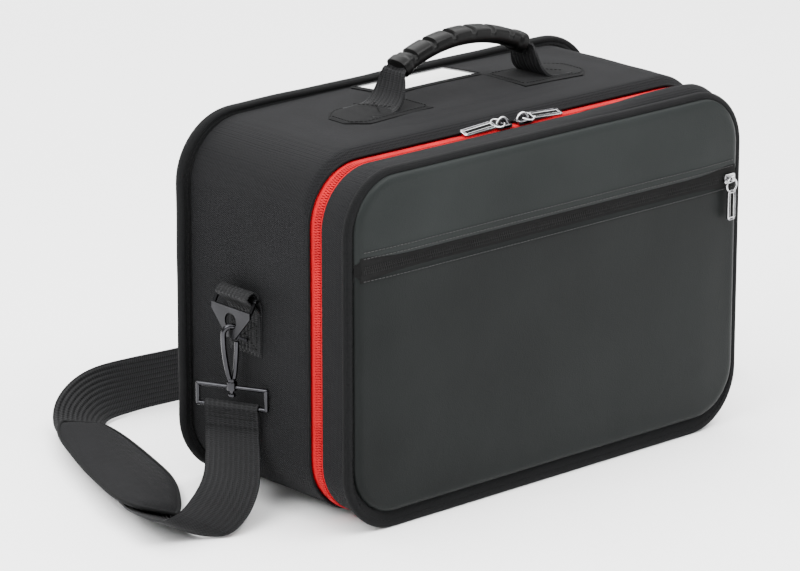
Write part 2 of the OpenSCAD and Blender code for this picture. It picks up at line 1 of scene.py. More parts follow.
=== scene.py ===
"""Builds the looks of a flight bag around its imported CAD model."""

import math
from contextlib import contextmanager

import bpy
from mathutils import Matrix, Vector, noise


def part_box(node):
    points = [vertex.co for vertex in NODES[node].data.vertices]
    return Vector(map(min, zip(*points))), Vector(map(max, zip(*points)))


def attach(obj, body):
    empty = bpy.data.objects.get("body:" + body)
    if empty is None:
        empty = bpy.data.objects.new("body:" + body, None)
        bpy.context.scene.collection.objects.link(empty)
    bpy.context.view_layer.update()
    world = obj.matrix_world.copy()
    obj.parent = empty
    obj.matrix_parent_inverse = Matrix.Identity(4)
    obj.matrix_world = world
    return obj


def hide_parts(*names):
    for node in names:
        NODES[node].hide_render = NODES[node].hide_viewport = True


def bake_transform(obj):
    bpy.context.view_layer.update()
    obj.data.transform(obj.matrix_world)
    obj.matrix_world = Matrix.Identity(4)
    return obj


bl_info = {
    "name": "Flight Bag",
    "version": (1, 0, 0),
    "blender": (4, 5, 0),
    "location": "View3D > Sidebar > Flight Bag",
    "description": "Models and finishes a boarded flight bag around its CAD frame",
    "category": "Object",
}

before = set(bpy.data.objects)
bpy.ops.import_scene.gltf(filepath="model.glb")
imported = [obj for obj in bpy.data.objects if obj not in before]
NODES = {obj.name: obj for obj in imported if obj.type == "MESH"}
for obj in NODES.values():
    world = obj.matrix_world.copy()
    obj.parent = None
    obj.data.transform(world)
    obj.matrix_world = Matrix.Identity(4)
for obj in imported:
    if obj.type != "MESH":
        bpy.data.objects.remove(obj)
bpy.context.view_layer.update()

MM = 0.001
UP = Vector((0, 0, 1))
FRONT = Vector((0, -1, 0))
BACK = Vector((0, 1, 0))
LEFT = Vector((-1, 0, 0))
SIDES = (("left", -1), ("right", 1))

CLOTH = 1.4  # thickness of the fabric
RIB = 4.2  # distance between the strap's ribs
FACE_TURN = 0.9  # how squarely a face looks along an axis to be picked by it


def cad(node):
    """A CAD node's lowest and highest corners in millimetres."""
    low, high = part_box(node)
    return low / MM, high / MM


# ---------------------------------------------------------------- places

REAR_LOW, REAR_HIGH = cad("rear_binding")
CASE_LOW, CASE_HIGH = cad("case_gusset")
LID_LOW, LID_HIGH = cad("lid_gusset")
RIM_LOW, RIM_HIGH = cad("front_binding")
UPPER_LOW, UPPER_HIGH = cad("upper_panel")
LOWER_LOW, LOWER_HIGH = cad("lower_panel")
HINGE_LOW, HINGE_HIGH = cad("hinge_panel")

ZIP_Y = (cad("case_zip_teeth")[0].y + cad("lid_zip_teeth")[1].y) / 2
HEM_Y = CASE_LOW.y + 2.2
CASE_TOP = CASE_HIGH.z
SIDE_X = CASE_HIGH.x


# ---------------------------------------------------------------- outlines


class Outline:
    """A rounded rectangle that stands upright across the bag, in millimetres."""

    def __init__(self, low, high, radius):
        self.width, self.height, self.radius = high.x - low.x, high.z - low.z, radius
        self.middle = (high.z + low.z) / 2
        self.core_x, self.core_z = self.width / 2 - radius, self.height / 2 - radius

    def core(self, x, z):
        """The nearest point of the inner rectangle, which the corners turn round."""
        return (
            max(-self.core_x, min(self.core_x, x)),
            self.middle + max(-self.core_z, min(self.core_z, z - self.middle)),
        )

    def outward(self, x, z):
        cx, cz = self.core(x, z)
        away = Vector((x - cx, z - cz))
        return away.normalized() if away.length > 1e-6 else Vector((0, 1))

    def at(self, x, z, out):
        """The point that lies out from the outline, in the direction of x and z."""
        cx, cz = self.core(x, z)
        way = self.outward(x, z) * (self.radius + out)
        return cx + way.x, cz + way.y

    def depth_inside(self, x, z):
        cx, cz = self.core(x, z)
        if (cx, cz) == (x, z):
            return min(self.width / 2 - abs(x), self.height / 2 - abs(z - self.middle))
        return self.radius - math.hypot(x - cx, z - cz)

    def half_width(self, z):
        """Half the width at height z."""
        over = min(abs(z - self.middle) - self.core_z, self.radius)
        return self.core_x + (math.sqrt(self.radius**2 - over**2) if over > 0 else self.radius)

    def walk(self, out, step, gap_below=0):
        """Places along the outline: point, tangent and outward direction, each in X and Z."""
        r = self.radius + out
        around = 4 * (self.core_x + self.core_z) + 2 * math.pi * r
        count = int((around - gap_below) / step)
        each = (around - gap_below) / count
        return [self.spot(gap_below / 2 + (i + 0.5) * each, r, around) for i in range(count)]

    def spot(self, s, r, around):
        """The place at distance s from the bottom's middle, going towards +X."""
        hx, hz = self.core_x, self.core_z
        arc = math.pi * r / 2
        if s > around - hx:
            s -= around
        corners = ((hx, -hz, hx), (hx, hz, 2 * hz), (-hx, hz, 2 * hx), (-hx, -hz, 2 * hz))
        for turn, (cx, cz, straight) in enumerate(corners):
            if s <= straight + arc:
                break
            s -= straight + arc
        angle = math.pi / 2 * (turn - 1) + max(0, s - straight) / r
        away = Vector((math.cos(angle), math.sin(angle)))
        tangent = Vector((-away.y, away.x))
        point = Vector((cx, cz + self.middle)) + away * r + tangent * min(0, s - straight)
        return point, tangent, away

    def ring(self, y, out, step, gap_below=0):
        """Points round the outline at one Y."""
        return [Vector((p.x, y, p.y)) for p, _, _ in self.walk(out, step, gap_below)]


CASE = Outline(CASE_LOW, CASE_HIGH, 50)
LID = Outline(LID_LOW, LID_HIGH, 48)
REAR_RIM = Outline(REAR_LOW, REAR_HIGH, 56)
FRONT_RIM = Outline(RIM_LOW, RIM_HIGH, 50)
PANEL = Outline(LOWER_LOW, Vector((LOWER_HIGH.x, 0, UPPER_HIGH.z)), 42)


# ---------------------------------------------------------------- modelling


def ease(t):
    t = max(0.0, min(1.0, t))
    return t * t * (3 - 2 * t)


def ripple(x, y, z, size, seed=0.0):
    """A smooth wandering value from -1 to 1, the same on every run."""
    return noise.noise(Vector((x / size + seed, y / size + 3 * seed, z / size - seed)))


def nothing_selected():
    for obj in bpy.context.selected_objects:
        obj.select_set(False)


def only(piece):
    nothing_selected()
    piece.select_set(True)
    bpy.context.view_layer.objects.active = piece


@contextmanager
def editing(piece, mode="VERT"):
    only(piece)
    bpy.ops.object.mode_set(mode="EDIT")
    bpy.ops.mesh.select_mode(type=mode)
    yield
    bpy.ops.object.mode_set(mode="OBJECT")


def choose(piece, edges=(), faces=()):
    """Selects just these edges or faces of a mesh, by index, in object mode."""
    mesh = piece.data
    for parts, wanted in ((mesh.vertices, ()), (mesh.edges, edges), (mesh.polygons, faces)):
        flags = [False] * len(parts)
        for i in wanted:
            flags[i] = True
        parts.foreach_set("select", flags)


def choose_edges(piece, test):
    """Selects the edges whose two vertices pass a test."""
    points = piece.data.vertices
    choose(piece, edges=[e.index for e in piece.data.edges if test(*(points[i] for i in e.vertices))])


def choose_faces(piece, test):
    choose(piece, faces=[f.index for f in piece.data.polygons if test(f)])


def named(name):
    piece = bpy.context.object
    piece.name = piece.data.name = name
    return piece


def grid(name, columns, rows, size=2):
    """A flat grid, to be shaped."""
    nothing_selected()
    bpy.ops.mesh.primitive_grid_add(x_subdivisions=columns, y_subdivisions=rows, size=size)
    return named(name)


def block(name, centre, size):
    """A box, to be shaped."""
    nothing_selected()
    bpy.ops.mesh.primitive_cube_add(size=1, location=centre)
    piece = named(name)
    piece.scale = size
    bpy.ops.object.transform_apply(location=True, scale=True)
    return piece


def move_vertices(piece, rule):
    """Moves each vertex to where the rule says, as sculpting would."""
    for v in piece.data.vertices:
        v.co = rule(v.co)
    piece.data.update()


def add_modifier(piece, kind, **settings):
    only(piece)
    modifier = piece.modifiers.new(kind.title(), kind)
    for key, value in settings.items():
        setattr(modifier, key, value)
    bpy.ops.object.modifier_apply(modifier=modifier.name)


def thicken(piece, thickness, offset=-1.0):
    add_modifier(piece, "SOLIDIFY", thickness=thickness, offset=offset)


def soften(piece, width, segments=2, angle=40):
    add_modifier(
        piece, "BEVEL", width=width, segments=segments, limit_method="ANGLE",
        angle_limit=math.radians(angle), use_clamp_overlap=True,
    )


def face_out(piece):
    with editing(piece):
        bpy.ops.mesh.select_all(action="SELECT")
        bpy.ops.mesh.remove_doubles(threshold=0.0005)
        bpy.ops.mesh.normals_make_consistent(inside=False)


def flip(piece):
    with editing(piece):
        bpy.ops.mesh.select_all(action="SELECT")
        bpy.ops.mesh.flip_normals()


def turn_out(piece, middle):
    """Turns an open shell's faces so that most point away from a line along Y at that height."""
    score = sum(
        Vector((f.center.x, 0, f.center.z - middle)).dot(f.normal) * f.area for f in piece.data.polygons
    )
    if score < 0:
        flip(piece)


def sided(piece, way):
    """Mirrors a piece made for the left side, where it is for the right one."""
    if way > 0:
        piece.data.transform(Matrix.Scale(-1, 4, (1, 0, 0)))
        face_out(piece)
    return piece


def settle(piece, body, paints, replaces=(), smooth=35):
    """Brings a piece modelled in millimetres to metres and puts it on its body, if one is named."""
    only(piece)
    piece.data.transform(Matrix.Scale(MM, 4))
    bpy.ops.object.shade_smooth_by_angle(angle=math.radians(smooth))
    for paint in (paints,) if isinstance(paints, str) else paints:
        piece.data.materials.append(material(paint))
    if body:
        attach(piece, body)
    if replaces:
        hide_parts(*replaces)
    return piece


def outline_loop(name, outline, y, spacing):
    """A loop of edges round an outline: a plane with its corners bevelled and its face removed."""
    nothing_selected()
    bpy.ops.mesh.primitive_plane_add(size=1, location=(0, y, outline.middle), rotation=(math.pi / 2, 0, 0))
    piece = named(name)
    piece.scale = (outline.width, outline.height, 1)
    bpy.ops.object.transform_apply(location=True, rotation=True, scale=True)
    with editing(piece):
        bpy.ops.mesh.select_all(action="SELECT")
        bpy.ops.mesh.bevel(offset=outline.radius, segments=14, affect="VERTICES")
        bpy.ops.mesh.select_all(action="SELECT")
        bpy.ops.mesh.delete(type="ONLY_FACE")
    for _ in ("long sides", "short sides"):
        mesh = piece.data
        long_edges = {}
        for edge in mesh.edges:
            a, b = (mesh.vertices[i].co for i in edge.vertices)
            cuts = int((a - b).length / spacing)
            if cuts > 1:
                long_edges.setdefault(cuts, []).append(edge.index)
        if not long_edges:
            break
        cuts, group = max(long_edges.items())
        choose(piece, edges=group)
        with editing(piece, "EDGE"):
            bpy.ops.mesh.subdivide(number_cuts=cuts)
    return piece


def sweep(name, outline, stations, spacing=9.0, gap_below=False, closed=False):
    """Extrudes a loop round an outline through stations of (out from the outline, Y)."""
    piece = outline_loop(name, outline, stations[0][1], spacing)
    if gap_below:
        reach, foot = outline.core_x + 0.01, outline.middle - outline.height / 2 + 0.01
        choose_edges(piece, lambda *ends: all(abs(v.co.x) <= reach and v.co.z < foot for v in ends))
        with editing(piece, "EDGE"):
            bpy.ops.mesh.delete(type="EDGE")
    count = len(piece.data.vertices)
    with editing(piece, "EDGE"):
        bpy.ops.mesh.select_all(action="SELECT")
        for before, after in zip(stations, stations[1:]):
            step = (0, after[1] - before[1], 0)
            bpy.ops.mesh.extrude_edges_move(TRANSFORM_OT_translate={"value": step})
    for v in piece.data.vertices:
        out, y = stations[v.index // count]
        x, z = outline.at(v.co.x, v.co.z, out)
        v.co = (x, y, z)
    if closed:
        last = (len(stations) - 1) * count
        choose_edges(piece, lambda a, b: max(a.index, b.index) < count or min(a.index, b.index) >= last)
        with editing(piece, "EDGE"):
            bpy.ops.mesh.bridge_edge_loops()
        face_out(piece)
    else:
        turn_out(piece, outline.middle)
    return piece


def spread(low, high, step, edges=()):
    """Positions from low to high: close together at both ends, then evenly spaced."""
    edges = [e for e in edges if e < (high - low) / 2] or [0]
    inner_low, inner_high = low + edges[-1], high - edges[-1]
    count = max(1, round((inner_high - inner_low) / step))
    middle = [inner_low + (inner_high - inner_low) * i / count for i in range(count + 1)]
    return [low + e for e in edges[:-1]] + middle + [high - e for e in reversed(edges[:-1])]


EDGE_STEPS = (0, 0.8, 1.8, 3.2, 5, 7.5, 11)
CORNER_TURNS = (20, 36, 50, 62, 72, 80)


def rounded_panel(name, outline, low_z, high_z, y, step):
    """A grid that fills an outline between two heights, with close rows along its edges."""
    rows = spread(low_z, high_z, step, EDGE_STEPS)
    turns = [
        outline.middle + side * (outline.core_z + outline.radius * math.sin(math.radians(a)))
        for side in (-1, 1) for a in CORNER_TURNS
    ]
    rows = sorted(rows + [z for z in turns if low_z < z < high_z and min(abs(z - r) for r in rows) > 0.5])
    columns = spread(-1, 1, 2 * step / outline.width)
    close = len(EDGE_STEPS) - 1
    across = len(columns) + 2 * close
    piece = grid(name, across - 1, len(rows) - 1)
    for v in piece.data.vertices:
        z = rows[round((v.co.y + 1) / 2 * (len(rows) - 1))]
        column = round((v.co.x + 1) / 2 * (across - 1))
        half = outline.half_width(z)
        if column < close:
            x = -half + EDGE_STEPS[column]
        elif column >= across - close:
            x = half - EDGE_STEPS[across - 1 - column]
        else:
            x = columns[column - close] * (half - EDGE_STEPS[-1])
        v.co = (x, y, z)
    face_out(piece)
    return piece


def frames_along(curve, across):
    """Centre, across and normal at each point of a curve."""
    frames = []
    for i, point in enumerate(curve):
        ahead = curve[min(i + 1, len(curve) - 1)] - curve[max(i - 1, 0)]
        side = across[i] if isinstance(across, list) else across
        frames.append((point, side.normalized(), side.cross(ahead).normalized()))
    return frames


def ribs(depth, rib=RIB):
    """Ribs along a band, as a relief."""
    return lambda run, across, width: depth * math.sin(2 * math.pi * across / rib)


def band(name, frames, width, thickness, columns, relief, body, node, lift=0.0, way=-1):
    """A band of webbing along frames. Its UV map runs along and across it in metres."""
    piece = grid(name, len(frames) - 1, columns, 1)
    runs = [0.0]
    for a, b in zip(frames, frames[1:]):
        runs.append(runs[-1] + (b[0] - a[0]).length)
    place = {}
    for v in piece.data.vertices:
        i = round((v.co.x + 0.5) * (len(frames) - 1))
        point, side, normal = frames[i]
        wide = width[i] if isinstance(width, list) else width
        across = v.co.y * wide
        place[v.index] = (runs[i] * MM, across * MM)
        v.co = point + side * across + normal * (lift + relief(runs[i], across, wide))
    uv = piece.data.uv_layers.active.data
    for loop in piece.data.loops:
        uv[loop.index].uv = place[loop.vertex_index]
    thicken(piece, thickness, 0.0)
    face_out(piece)
    return settle(sided(piece, way), body, "webbing", (node,), 50)


def wire(name, points, radius, cyclic=False, sides=3):
    """Round wire along points: a bevelled curve made into a mesh."""
    curve = bpy.data.curves.new(name, "CURVE")
    curve.dimensions = "3D"
    curve.bevel_depth = radius
    curve.bevel_resolution = sides
    curve.use_fill_caps = True
    spline = curve.splines.new("POLY")
    spline.points.add(len(points) - 1)
    for p, co in zip(spline.points, points):
        p.co = (*co, 1)
    spline.use_cyclic_u = cyclic
    piece = bpy.data.objects.new(name, curve)
    bpy.context.scene.collection.objects.link(piece)
    only(piece)
    bpy.ops.object.convert(target="MESH")
    piece = named(name)
    face_out(piece)
    return piece


def smooth_points(points, steps):
    """A smooth curve through points."""
    out = []
    for i in range(len(points) - 1):
        a, b, c = points[max(i - 1, 0)], points[i], points[i + 1]
        d = points[min(i + 2, len(points) - 1)]
        for k in range(steps):
            t = k / steps
            bent = 2 * b + (c - a) * t + (2 * a - 5 * b + 4 * c - d) * t * t
            out.append(0.5 * (bent + (3 * b - a - 3 * c + d) * t**3))
    return out + [points[-1].copy()]


def join(name, pieces):
    """Joins pieces into one mesh."""
    nothing_selected()
    for piece in pieces:
        piece.select_set(True)
    bpy.context.view_layer.objects.active = pieces[0]
    bpy.ops.object.join()
    return named(name)


def repeat(name, part, placements):
    """Copies a small part to every placement, as one mesh."""
    verts = [v.co.copy() for v in part.data.vertices]
    faces = [tuple(p.vertices) for p in part.data.polygons]
    all_verts, all_faces = [], []
    for matrix in placements:
        first = len(all_verts)
        all_verts += [matrix @ v for v in verts]
        all_faces += [tuple(first + i for i in f) for f in faces]
    mesh = bpy.data.meshes.new(name)
    mesh.from_pydata(all_verts, [], all_faces)
    mesh.update()
    bpy.data.objects.remove(part)
    piece = bpy.data.objects.new(name, mesh)
    bpy.context.scene.collection.objects.link(piece)
    return piece


def capsule(length, radius, sides=6):
    """A small rounded rod along X, for stitches and teeth."""
    nothing_selected()
    turn = (0, math.pi / 2, 0)
    bpy.ops.mesh.primitive_cylinder_add(vertices=sides, radius=radius, depth=length, rotation=turn)
    piece = named("part")
    bpy.ops.object.transform_apply(rotation=True)
    with editing(piece, "FACE"):
        bpy.ops.mesh.select_all(action="DESELECT")
    choose_faces(piece, lambda f: abs(f.normal.x) > FACE_TURN)
    with editing(piece, "FACE"):
        bpy.ops.mesh.bevel(offset=radius * 0.55, segments=1, affect="EDGES")
    return piece


def basis(x_axis, up, at):
    """A placement whose X axis and upward side are given."""
    x_axis = x_axis.normalized()
    y_axis = up.cross(x_axis).normalized()
    z_axis = x_axis.cross(y_axis)
    return Matrix.Translation(at) @ Matrix((x_axis, y_axis, z_axis)).transposed().to_4x4()


def stitch_line(points, up, pitch):
    """Placements of stitches along a line of points."""
    placements = []
    carried = pitch / 2
    for a, b in zip(points, points[1:]):
        length = (b - a).length
        if length < 1e-6:
            continue
        while carried <= length:
            placements.append(basis(b - a, up, a.lerp(b, carried / length)))
            carried += pitch
        carried -= length
    return placements


def stitches(name, placements, body, slot, length=3.0, radius=0.38, thread="thread", way=-1):
    piece = sided(repeat(name, capsule(length, radius), placements), way)
    return settle(piece, body, thread, smooth=80)


def inflate(piece, pinned, pressure, frames=24):
    """Fills a closed piece with a cloth simulation, in metres. The pinned vertices stay where they are."""
    piece.data.transform(Matrix.Scale(MM, 4))
    piece.vertex_groups.new(name="seam").add(pinned, 1.0, "REPLACE")
    only(piece)
    bpy.ops.object.modifier_add(type="CLOTH")
    cloth = piece.modifiers[-1]
    for key, value in (
        ("quality", 10), ("mass", 0.02), ("air_damping", 4), ("tension_stiffness", 20),
        ("compression_stiffness", 20), ("shear_stiffness", 8), ("bending_stiffness", 0.4),
        ("use_pressure", True), ("uniform_pressure_force", pressure), ("vertex_group_mass", "seam"),
    ):
        setattr(cloth.settings, key, value)
    cloth.settings.effector_weights.gravity = 0
    cloth.collision_settings.use_collision = False
    cloth.point_cache.frame_end = frames
    for frame in range(1, frames + 1):
        bpy.context.scene.frame_set(frame)
    bpy.ops.object.modifier_apply(modifier=cloth.name)
    bpy.context.scene.frame_set(1)
    piece.vertex_groups.clear()
    piece.data.transform(Matrix.Scale(1 / MM, 4))


# ---------------------------------------------------------------- materials


class Value:
    """A socket that carries a value, so that sums with it read as sums."""

    def __init__(self, paint, socket):
        self.paint, self.socket = paint, socket

    def _math(self, operation, *terms):
        return self.paint.node("ShaderNodeMath", {"operation": operation}, *terms)

    def __add__(self, other):
        return self._math("ADD", self, other)

    def __sub__(self, other):
        return self._math("SUBTRACT", self, other)

    def __rsub__(self, other):
        return self._math("SUBTRACT", other, self)

    def __mul__(self, other):
        return self._math("MULTIPLY", self, other)

    __radd__ = __add__
    __rmul__ = __mul__

    def sine(self):
        return self._math("SINE", self)

    def size(self):
        return self._math("ABSOLUTE", self)

    def ramp(self, low, high):
        """0 below low, 1 above high, smooth between."""
        smooth = {"interpolation_type": "SMOOTHSTEP"}
        return self.paint.node("ShaderNodeMapRange", smooth, self, low, high, 0.0, 1.0)


class Paint:
    """A material and its node tree. Flat values are set on the shader's own sockets."""

    def __init__(self, name, **flat):
        self.material = bpy.data.materials.new(name)
        self.material.use_nodes = True
        self.tree = self.material.node_tree
        self.shader = self.tree.nodes["Principled BSDF"]
        for key, value in flat.items():
            self.shader.inputs[key.replace("_", " ").title().replace("Ior", "IOR")].default_value = value

    def node(self, kind, settings=None, *values, out=0, **named_values):
        node = self.tree.nodes.new(kind)
        for key, value in (settings or {}).items():
            setattr(node, key, value)
        for key, value in [*enumerate(values), *named_values.items()]:
            if isinstance(value, Value):
                self.tree.links.new(value.socket, node.inputs[key])
            else:
                node.inputs[key].default_value = value
        return Value(self, node.outputs[out])

    def place(self, kind="Object"):
        """Coordinates, as one vector and as three values. The UV map runs in metres."""
        where = self.node("ShaderNodeTexCoord", out=kind)
        split = self.node("ShaderNodeSeparateXYZ", None, where).socket.node
        return where, [Value(self, output) for output in split.outputs]

    def noise(self, where, scale, detail=3.0, rough=0.5):
        return self.node("ShaderNodeTexNoise", Vector=where, Scale=scale, Detail=detail, Roughness=rough)

    def blend(self, mask, first, second):
        """A colour between two, by a mask."""
        mix = self.node("ShaderNodeMix", {"data_type": "RGBA"}, mask, out=2)
        for socket, colour in ((6, first), (7, second)):
            mix.socket.node.inputs[socket].default_value = (*colour, 1)
        return mix

    def feed(self, socket, value):
        self.tree.links.new(value.socket, self.shader.inputs[socket])

    def tint(self, mask, colour, dark, light=1.0):
        """Gives the surface a colour that goes from darker to lighter, by a mask."""
        self.feed("Base Color", self.blend(mask, shade(colour, dark), shade(colour, light)))

    def relief(self, height, depth):
        """Bumps the surface by height, depth metres deep."""
        self.feed("Normal", self.node("ShaderNodeBump", Strength=1.0, Distance=depth, Height=height))


def grey(level):
    return (level, level, level)


def shade(colour, factor):
    return tuple(c * factor for c in colour)


def woven(name, colour, pitch=0.0016, depth=0.0005, rough=0.85, sheen=0.02, groove_shade=0.75):
    """Ribbed cloth: a twill of fine ribs over a plain weave, with worn and dusty patches. Its colour also
    follows the weave's relief: painted shade in the grooves, painted highlight on the ridges.
    """
    paint = Paint(name, sheen_weight=sheen, sheen_roughness=0.55, specular_ior_level=0.06)
    where, (x, y, z) = paint.place()
    turn = 2 * math.pi / pitch
    weave = (x * turn).sine() + (y * turn).sine() + (z * turn).sine()
    twill = ((x + y * 1.3 + z * 1.7) * (turn * 0.62)).sine()
    height = weave * 0.22 + twill * 0.5
    patches = paint.noise(where, 9.0, 4.0)
    fibre = paint.noise(where, 420.0, 2.0)
    # Random patches and fibres, plus the weave's height: the darker grooves and lighter ridges are painted
    # shade and painted highlight
    tone = patches * 0.45 + (height * 0.5 + 0.5) * groove_shade + fibre * 0.3
    paint.tint(tone.ramp(0.15, 0.95), colour, 0.62, 1.5)
    paint.feed("Roughness", (patches * 0.16) + (rough - 0.08))
    paint.relief(height + fibre * 0.8, depth)
    return paint.material


def leatherette(name, colour):
    """Grained leatherette: small pebbles, fine creases and a soft polish."""
    paint = Paint(name, specular_ior_level=0.055)
    where, _ = paint.place()
    drift = paint.noise(where, 6.0)
    pebbles = paint.node("ShaderNodeTexVoronoi", Vector=where, Scale=900.0)
    pores = paint.noise(where, 2400.0, 2.0)
    creases = paint.noise(where, 70.0, 5.0, 0.6)
    paint.tint(drift.ramp(0.2, 0.8), colour, 0.75, 1.25)
    paint.feed("Roughness", drift * 0.14 + pores * 0.06 + 0.33)
    paint.relief(pebbles * 0.7 + pores * 0.3 + creases * 1.1, 0.00012)
    return paint.material


def webbing(name, colour):
    """Ribbed webbing: ribs along its length, and a fine weave across them. Its colour follows the ribs and
    the weave, lighter on the ridges and darker between them: painted highlight and painted shade.
    """
    paint = Paint(name, sheen_weight=0.02, sheen_roughness=0.5, specular_ior_level=0.12)
    where, (run, side, _) = paint.place("UV")
    rows = (side * (2 * math.pi / (RIB * MM))).sine()
    picks = (run * (2 * math.pi / 0.0019) + rows * 1.2).sine()
    fibre = paint.noise(where, 500.0, 2.0)
    worn = paint.noise(where, 14.0)
    # Worn patches and fibres, plus the ribs and picks of the relief: the lighter ridges and darker grooves
    # are painted highlight and painted shade
    tone = rows * 0.22 + picks * 0.2 + worn * 0.5 + fibre * 0.2 + 0.1
    paint.tint(tone.ramp(0.0, 0.9), colour, 0.5, 1.6)
    paint.feed("Roughness", worn * 0.2 + 0.55)
    paint.relief(rows * 0.7 + picks * 0.35 + fibre * 0.25, 0.0004)
    return paint.material


def moulded(name, colour, rough, gloss=0.22):
    """Moulded plastic or rubber with a fine spark finish."""
    paint = Paint(name, specular_ior_level=gloss)
    where, _ = paint.place()
    rubbed = paint.noise(where, 25.0, 4.0)
    paint.tint(rubbed.ramp(0.35, 0.7), colour, 0.85, 1.25)
    paint.feed("Roughness", rubbed * 0.2 + (rough - 0.1))
    paint.relief(paint.noise(where, 1500.0, 2.0), 0.00006)
    return paint.material


def plated(name, colour, rough):
    """Plated metal: fine polishing marks and a little tarnish."""
    paint = Paint(name, metallic=1.0)
    where, _ = paint.place()
    marks = paint.noise(where, 900.0)
    tarnish = paint.noise(where, 60.0, 4.0)
    paint.tint(tarnish.ramp(0.35, 0.75), colour, 0.72)
    paint.feed("Roughness", tarnish * 0.16 + marks * 0.06 + (rough - 0.08))
    paint.relief(marks, 0.00001)
    return paint.material


def thread(name, colour):
    """Sewing thread with its twist. Its colour follows the twist, darker in its grooves: painted shade."""
    paint = Paint(name, specular_ior_level=0.08)
    _, (x, y, z) = paint.place()
    twist = ((x + y + z) * (2 * math.pi / 0.0006)).sine()
    # The colour darkens in the twist's grooves: painted shade
    paint.tint((twist * 0.5 + 0.5).ramp(0, 1), colour, 0.7)
    paint.feed("Roughness", twist * 0.05 + 0.6)
    paint.relief(twist, 0.00005)
    return paint.material


def zip_coil(name, colour):
    """The coil of a zip: smooth filament with a slow change of tone."""
    paint = Paint(name, specular_ior_level=0.08)
    where, _ = paint.place()
    drift = paint.noise(where, 40.0)
    paint.tint(drift.ramp(0.3, 0.7), colour, 0.8, 1.1)
    paint.feed("Roughness", drift * 0.15 + 0.5)
    return paint.material


def clear_film(name):
    """Clear soft film with a faint ripple."""
    paint = Paint(name, roughness=0.08, specular_ior_level=0.6)
    where, _ = paint.place()
    waves = paint.noise(where, 22.0, 2.0)
    paint.feed("Base Color", paint.blend(waves.ramp(0.3, 0.7), (0.9, 0.92, 0.93), (0.97, 0.98, 0.98)))
    paint.feed("Alpha", waves * 0.08 + 0.06)
    paint.relief(waves, 0.0006)
    return paint.material


def printed_card(name):
    """A white card with plain ruled lines to write on."""
    paint = Paint(name, specular_ior_level=0.3)
    where, (x, y, _) = paint.place()
    rules = (y * (2 * math.pi / 0.008)).sine().ramp(0.965, 0.99)
    inside = 1 - x.size().ramp(0.036, 0.037)
    grain = paint.noise(where, 700.0)
    paint.feed("Base Color", paint.blend(rules * inside * 0.6, (0.88, 0.88, 0.86), (0.25, 0.26, 0.28)))
    paint.feed("Roughness", grain * 0.2 + 0.45)
    paint.relief(grain, 0.00003)
    return paint.material


def board_sheet(name, colour):
    """Plain stiffener board, or foam."""
    paint = Paint(name, specular_ior_level=0.3)
    where, _ = paint.place()
    fibres = paint.noise(where, 220.0, 4.0)
    paint.tint(fibres.ramp(0.3, 0.7), colour, 0.85, 1.1)
    paint.feed("Roughness", fibres * 0.2 + 0.6)
    paint.relief(fibres, 0.0001)
    return paint.material


def floor_paint(name):
    paint = Paint(name, roughness=0.9, specular_ior_level=0.1)
    where, _ = paint.place()
    paint.feed("Base Color", paint.blend(paint.noise(where, 2.0, 2.0).ramp(0.2, 0.8), grey(0.94), grey(0.96)))
    return paint.material


MATERIALS = {}


def material(name):
    """The material of that name, made when it is first asked for."""
    own = settings()
    makers = {
        "fabric": lambda: woven("Outer fabric", own.fabric),
        "binding": lambda: woven("Binding tape", own.binding, 0.0013, 0.00018),
        "lining": lambda: woven("Lining", grey(0.02), 0.0008, 0.00008, 0.7, 0.03, 0.2),
        "pad_cloth": lambda: woven("Pad cloth", shade(own.fabric, 0.85), 0.0013, 0.0003),
        "red_tape": lambda: woven("Red zip tape", own.zip_red, 0.0011, 0.0001, 0.75, 0.0, 0.15),
        "red_coil": lambda: zip_coil("Red zip coil", shade(own.zip_red, 0.85)),
        "black_tape": lambda: woven("Black zip tape", grey(0.004), 0.0011, 0.0001, 0.8, 0.02, 0.2),
        "black_coil": lambda: zip_coil("Black zip coil", grey(0.008)),
        # The two panels wear copies of one leatherette: the lower's a little darker (painted shade), the
        # upper's much lighter (painted light), for the light falling from above
        "leather": lambda: leatherette("Leatherette", shade(own.leather, 0.92)),
        "padded_leather": lambda: leatherette("Lit leatherette", shade(own.leather, 1.65)),
        "webbing": lambda: webbing("Strap webbing", own.webbing),
        "grip": lambda: moulded("Grip rubber", grey(0.0025), 0.34, 0.09),
        "plastic": lambda: moulded("Buckle plastic", grey(0.006), 0.4),
        "enamel": lambda: moulded("Pull inlay", grey(0.004), 0.6, 0.03),
        "foam": lambda: board_sheet("Foam", grey(0.12)),
        "board": lambda: board_sheet("Board", grey(0.03)),
        "chrome": lambda: plated("Bright plating", (0.5, 0.5, 0.51), 0.14),
        "steel": lambda: plated("Dark plating", (0.022, 0.022, 0.024), 0.3),
        "nickel": lambda: plated("Black nickel", (0.035, 0.035, 0.038), 0.15),
        "slider": lambda: plated("Slider plating", (0.2, 0.2, 0.21), 0.18),
        "thread": lambda: thread("Thread", grey(0.0045)),
        "grey_thread": lambda: thread("Grey thread", grey(0.045)),
        "film": lambda: clear_film("Clear film"),
        "card": lambda: printed_card("Card"),
        "floor": lambda: floor_paint("Floor"),
    }
    if name not in MATERIALS:
        MATERIALS[name] = makers[name]()
    return MATERIALS[name]


def finish_node(node, paint):
    """Gives a CAD node that stays its material."""
    obj = NODES[node]
    obj.data.materials.clear()
    obj.data.materials.append(material(paint))
    only(obj)
    bpy.ops.object.shade_smooth_by_angle(angle=math.radians(30))


# ---------------------------------------------------------------- shapes shared by pieces


def crown(x, y):
    """How far the case's top rises over its boards."""
    along = ease((y - CASE_LOW.y) / 40) * ease((REAR_LOW.y + 30 - y) / 90)
    return 5.0 * max(0, 1 - (x / 168) ** 2) * along


def on_top(x, y, lift):
    """The point over the case's top."""
    return Vector((x, y, CASE_TOP + crown(x, y) + lift))


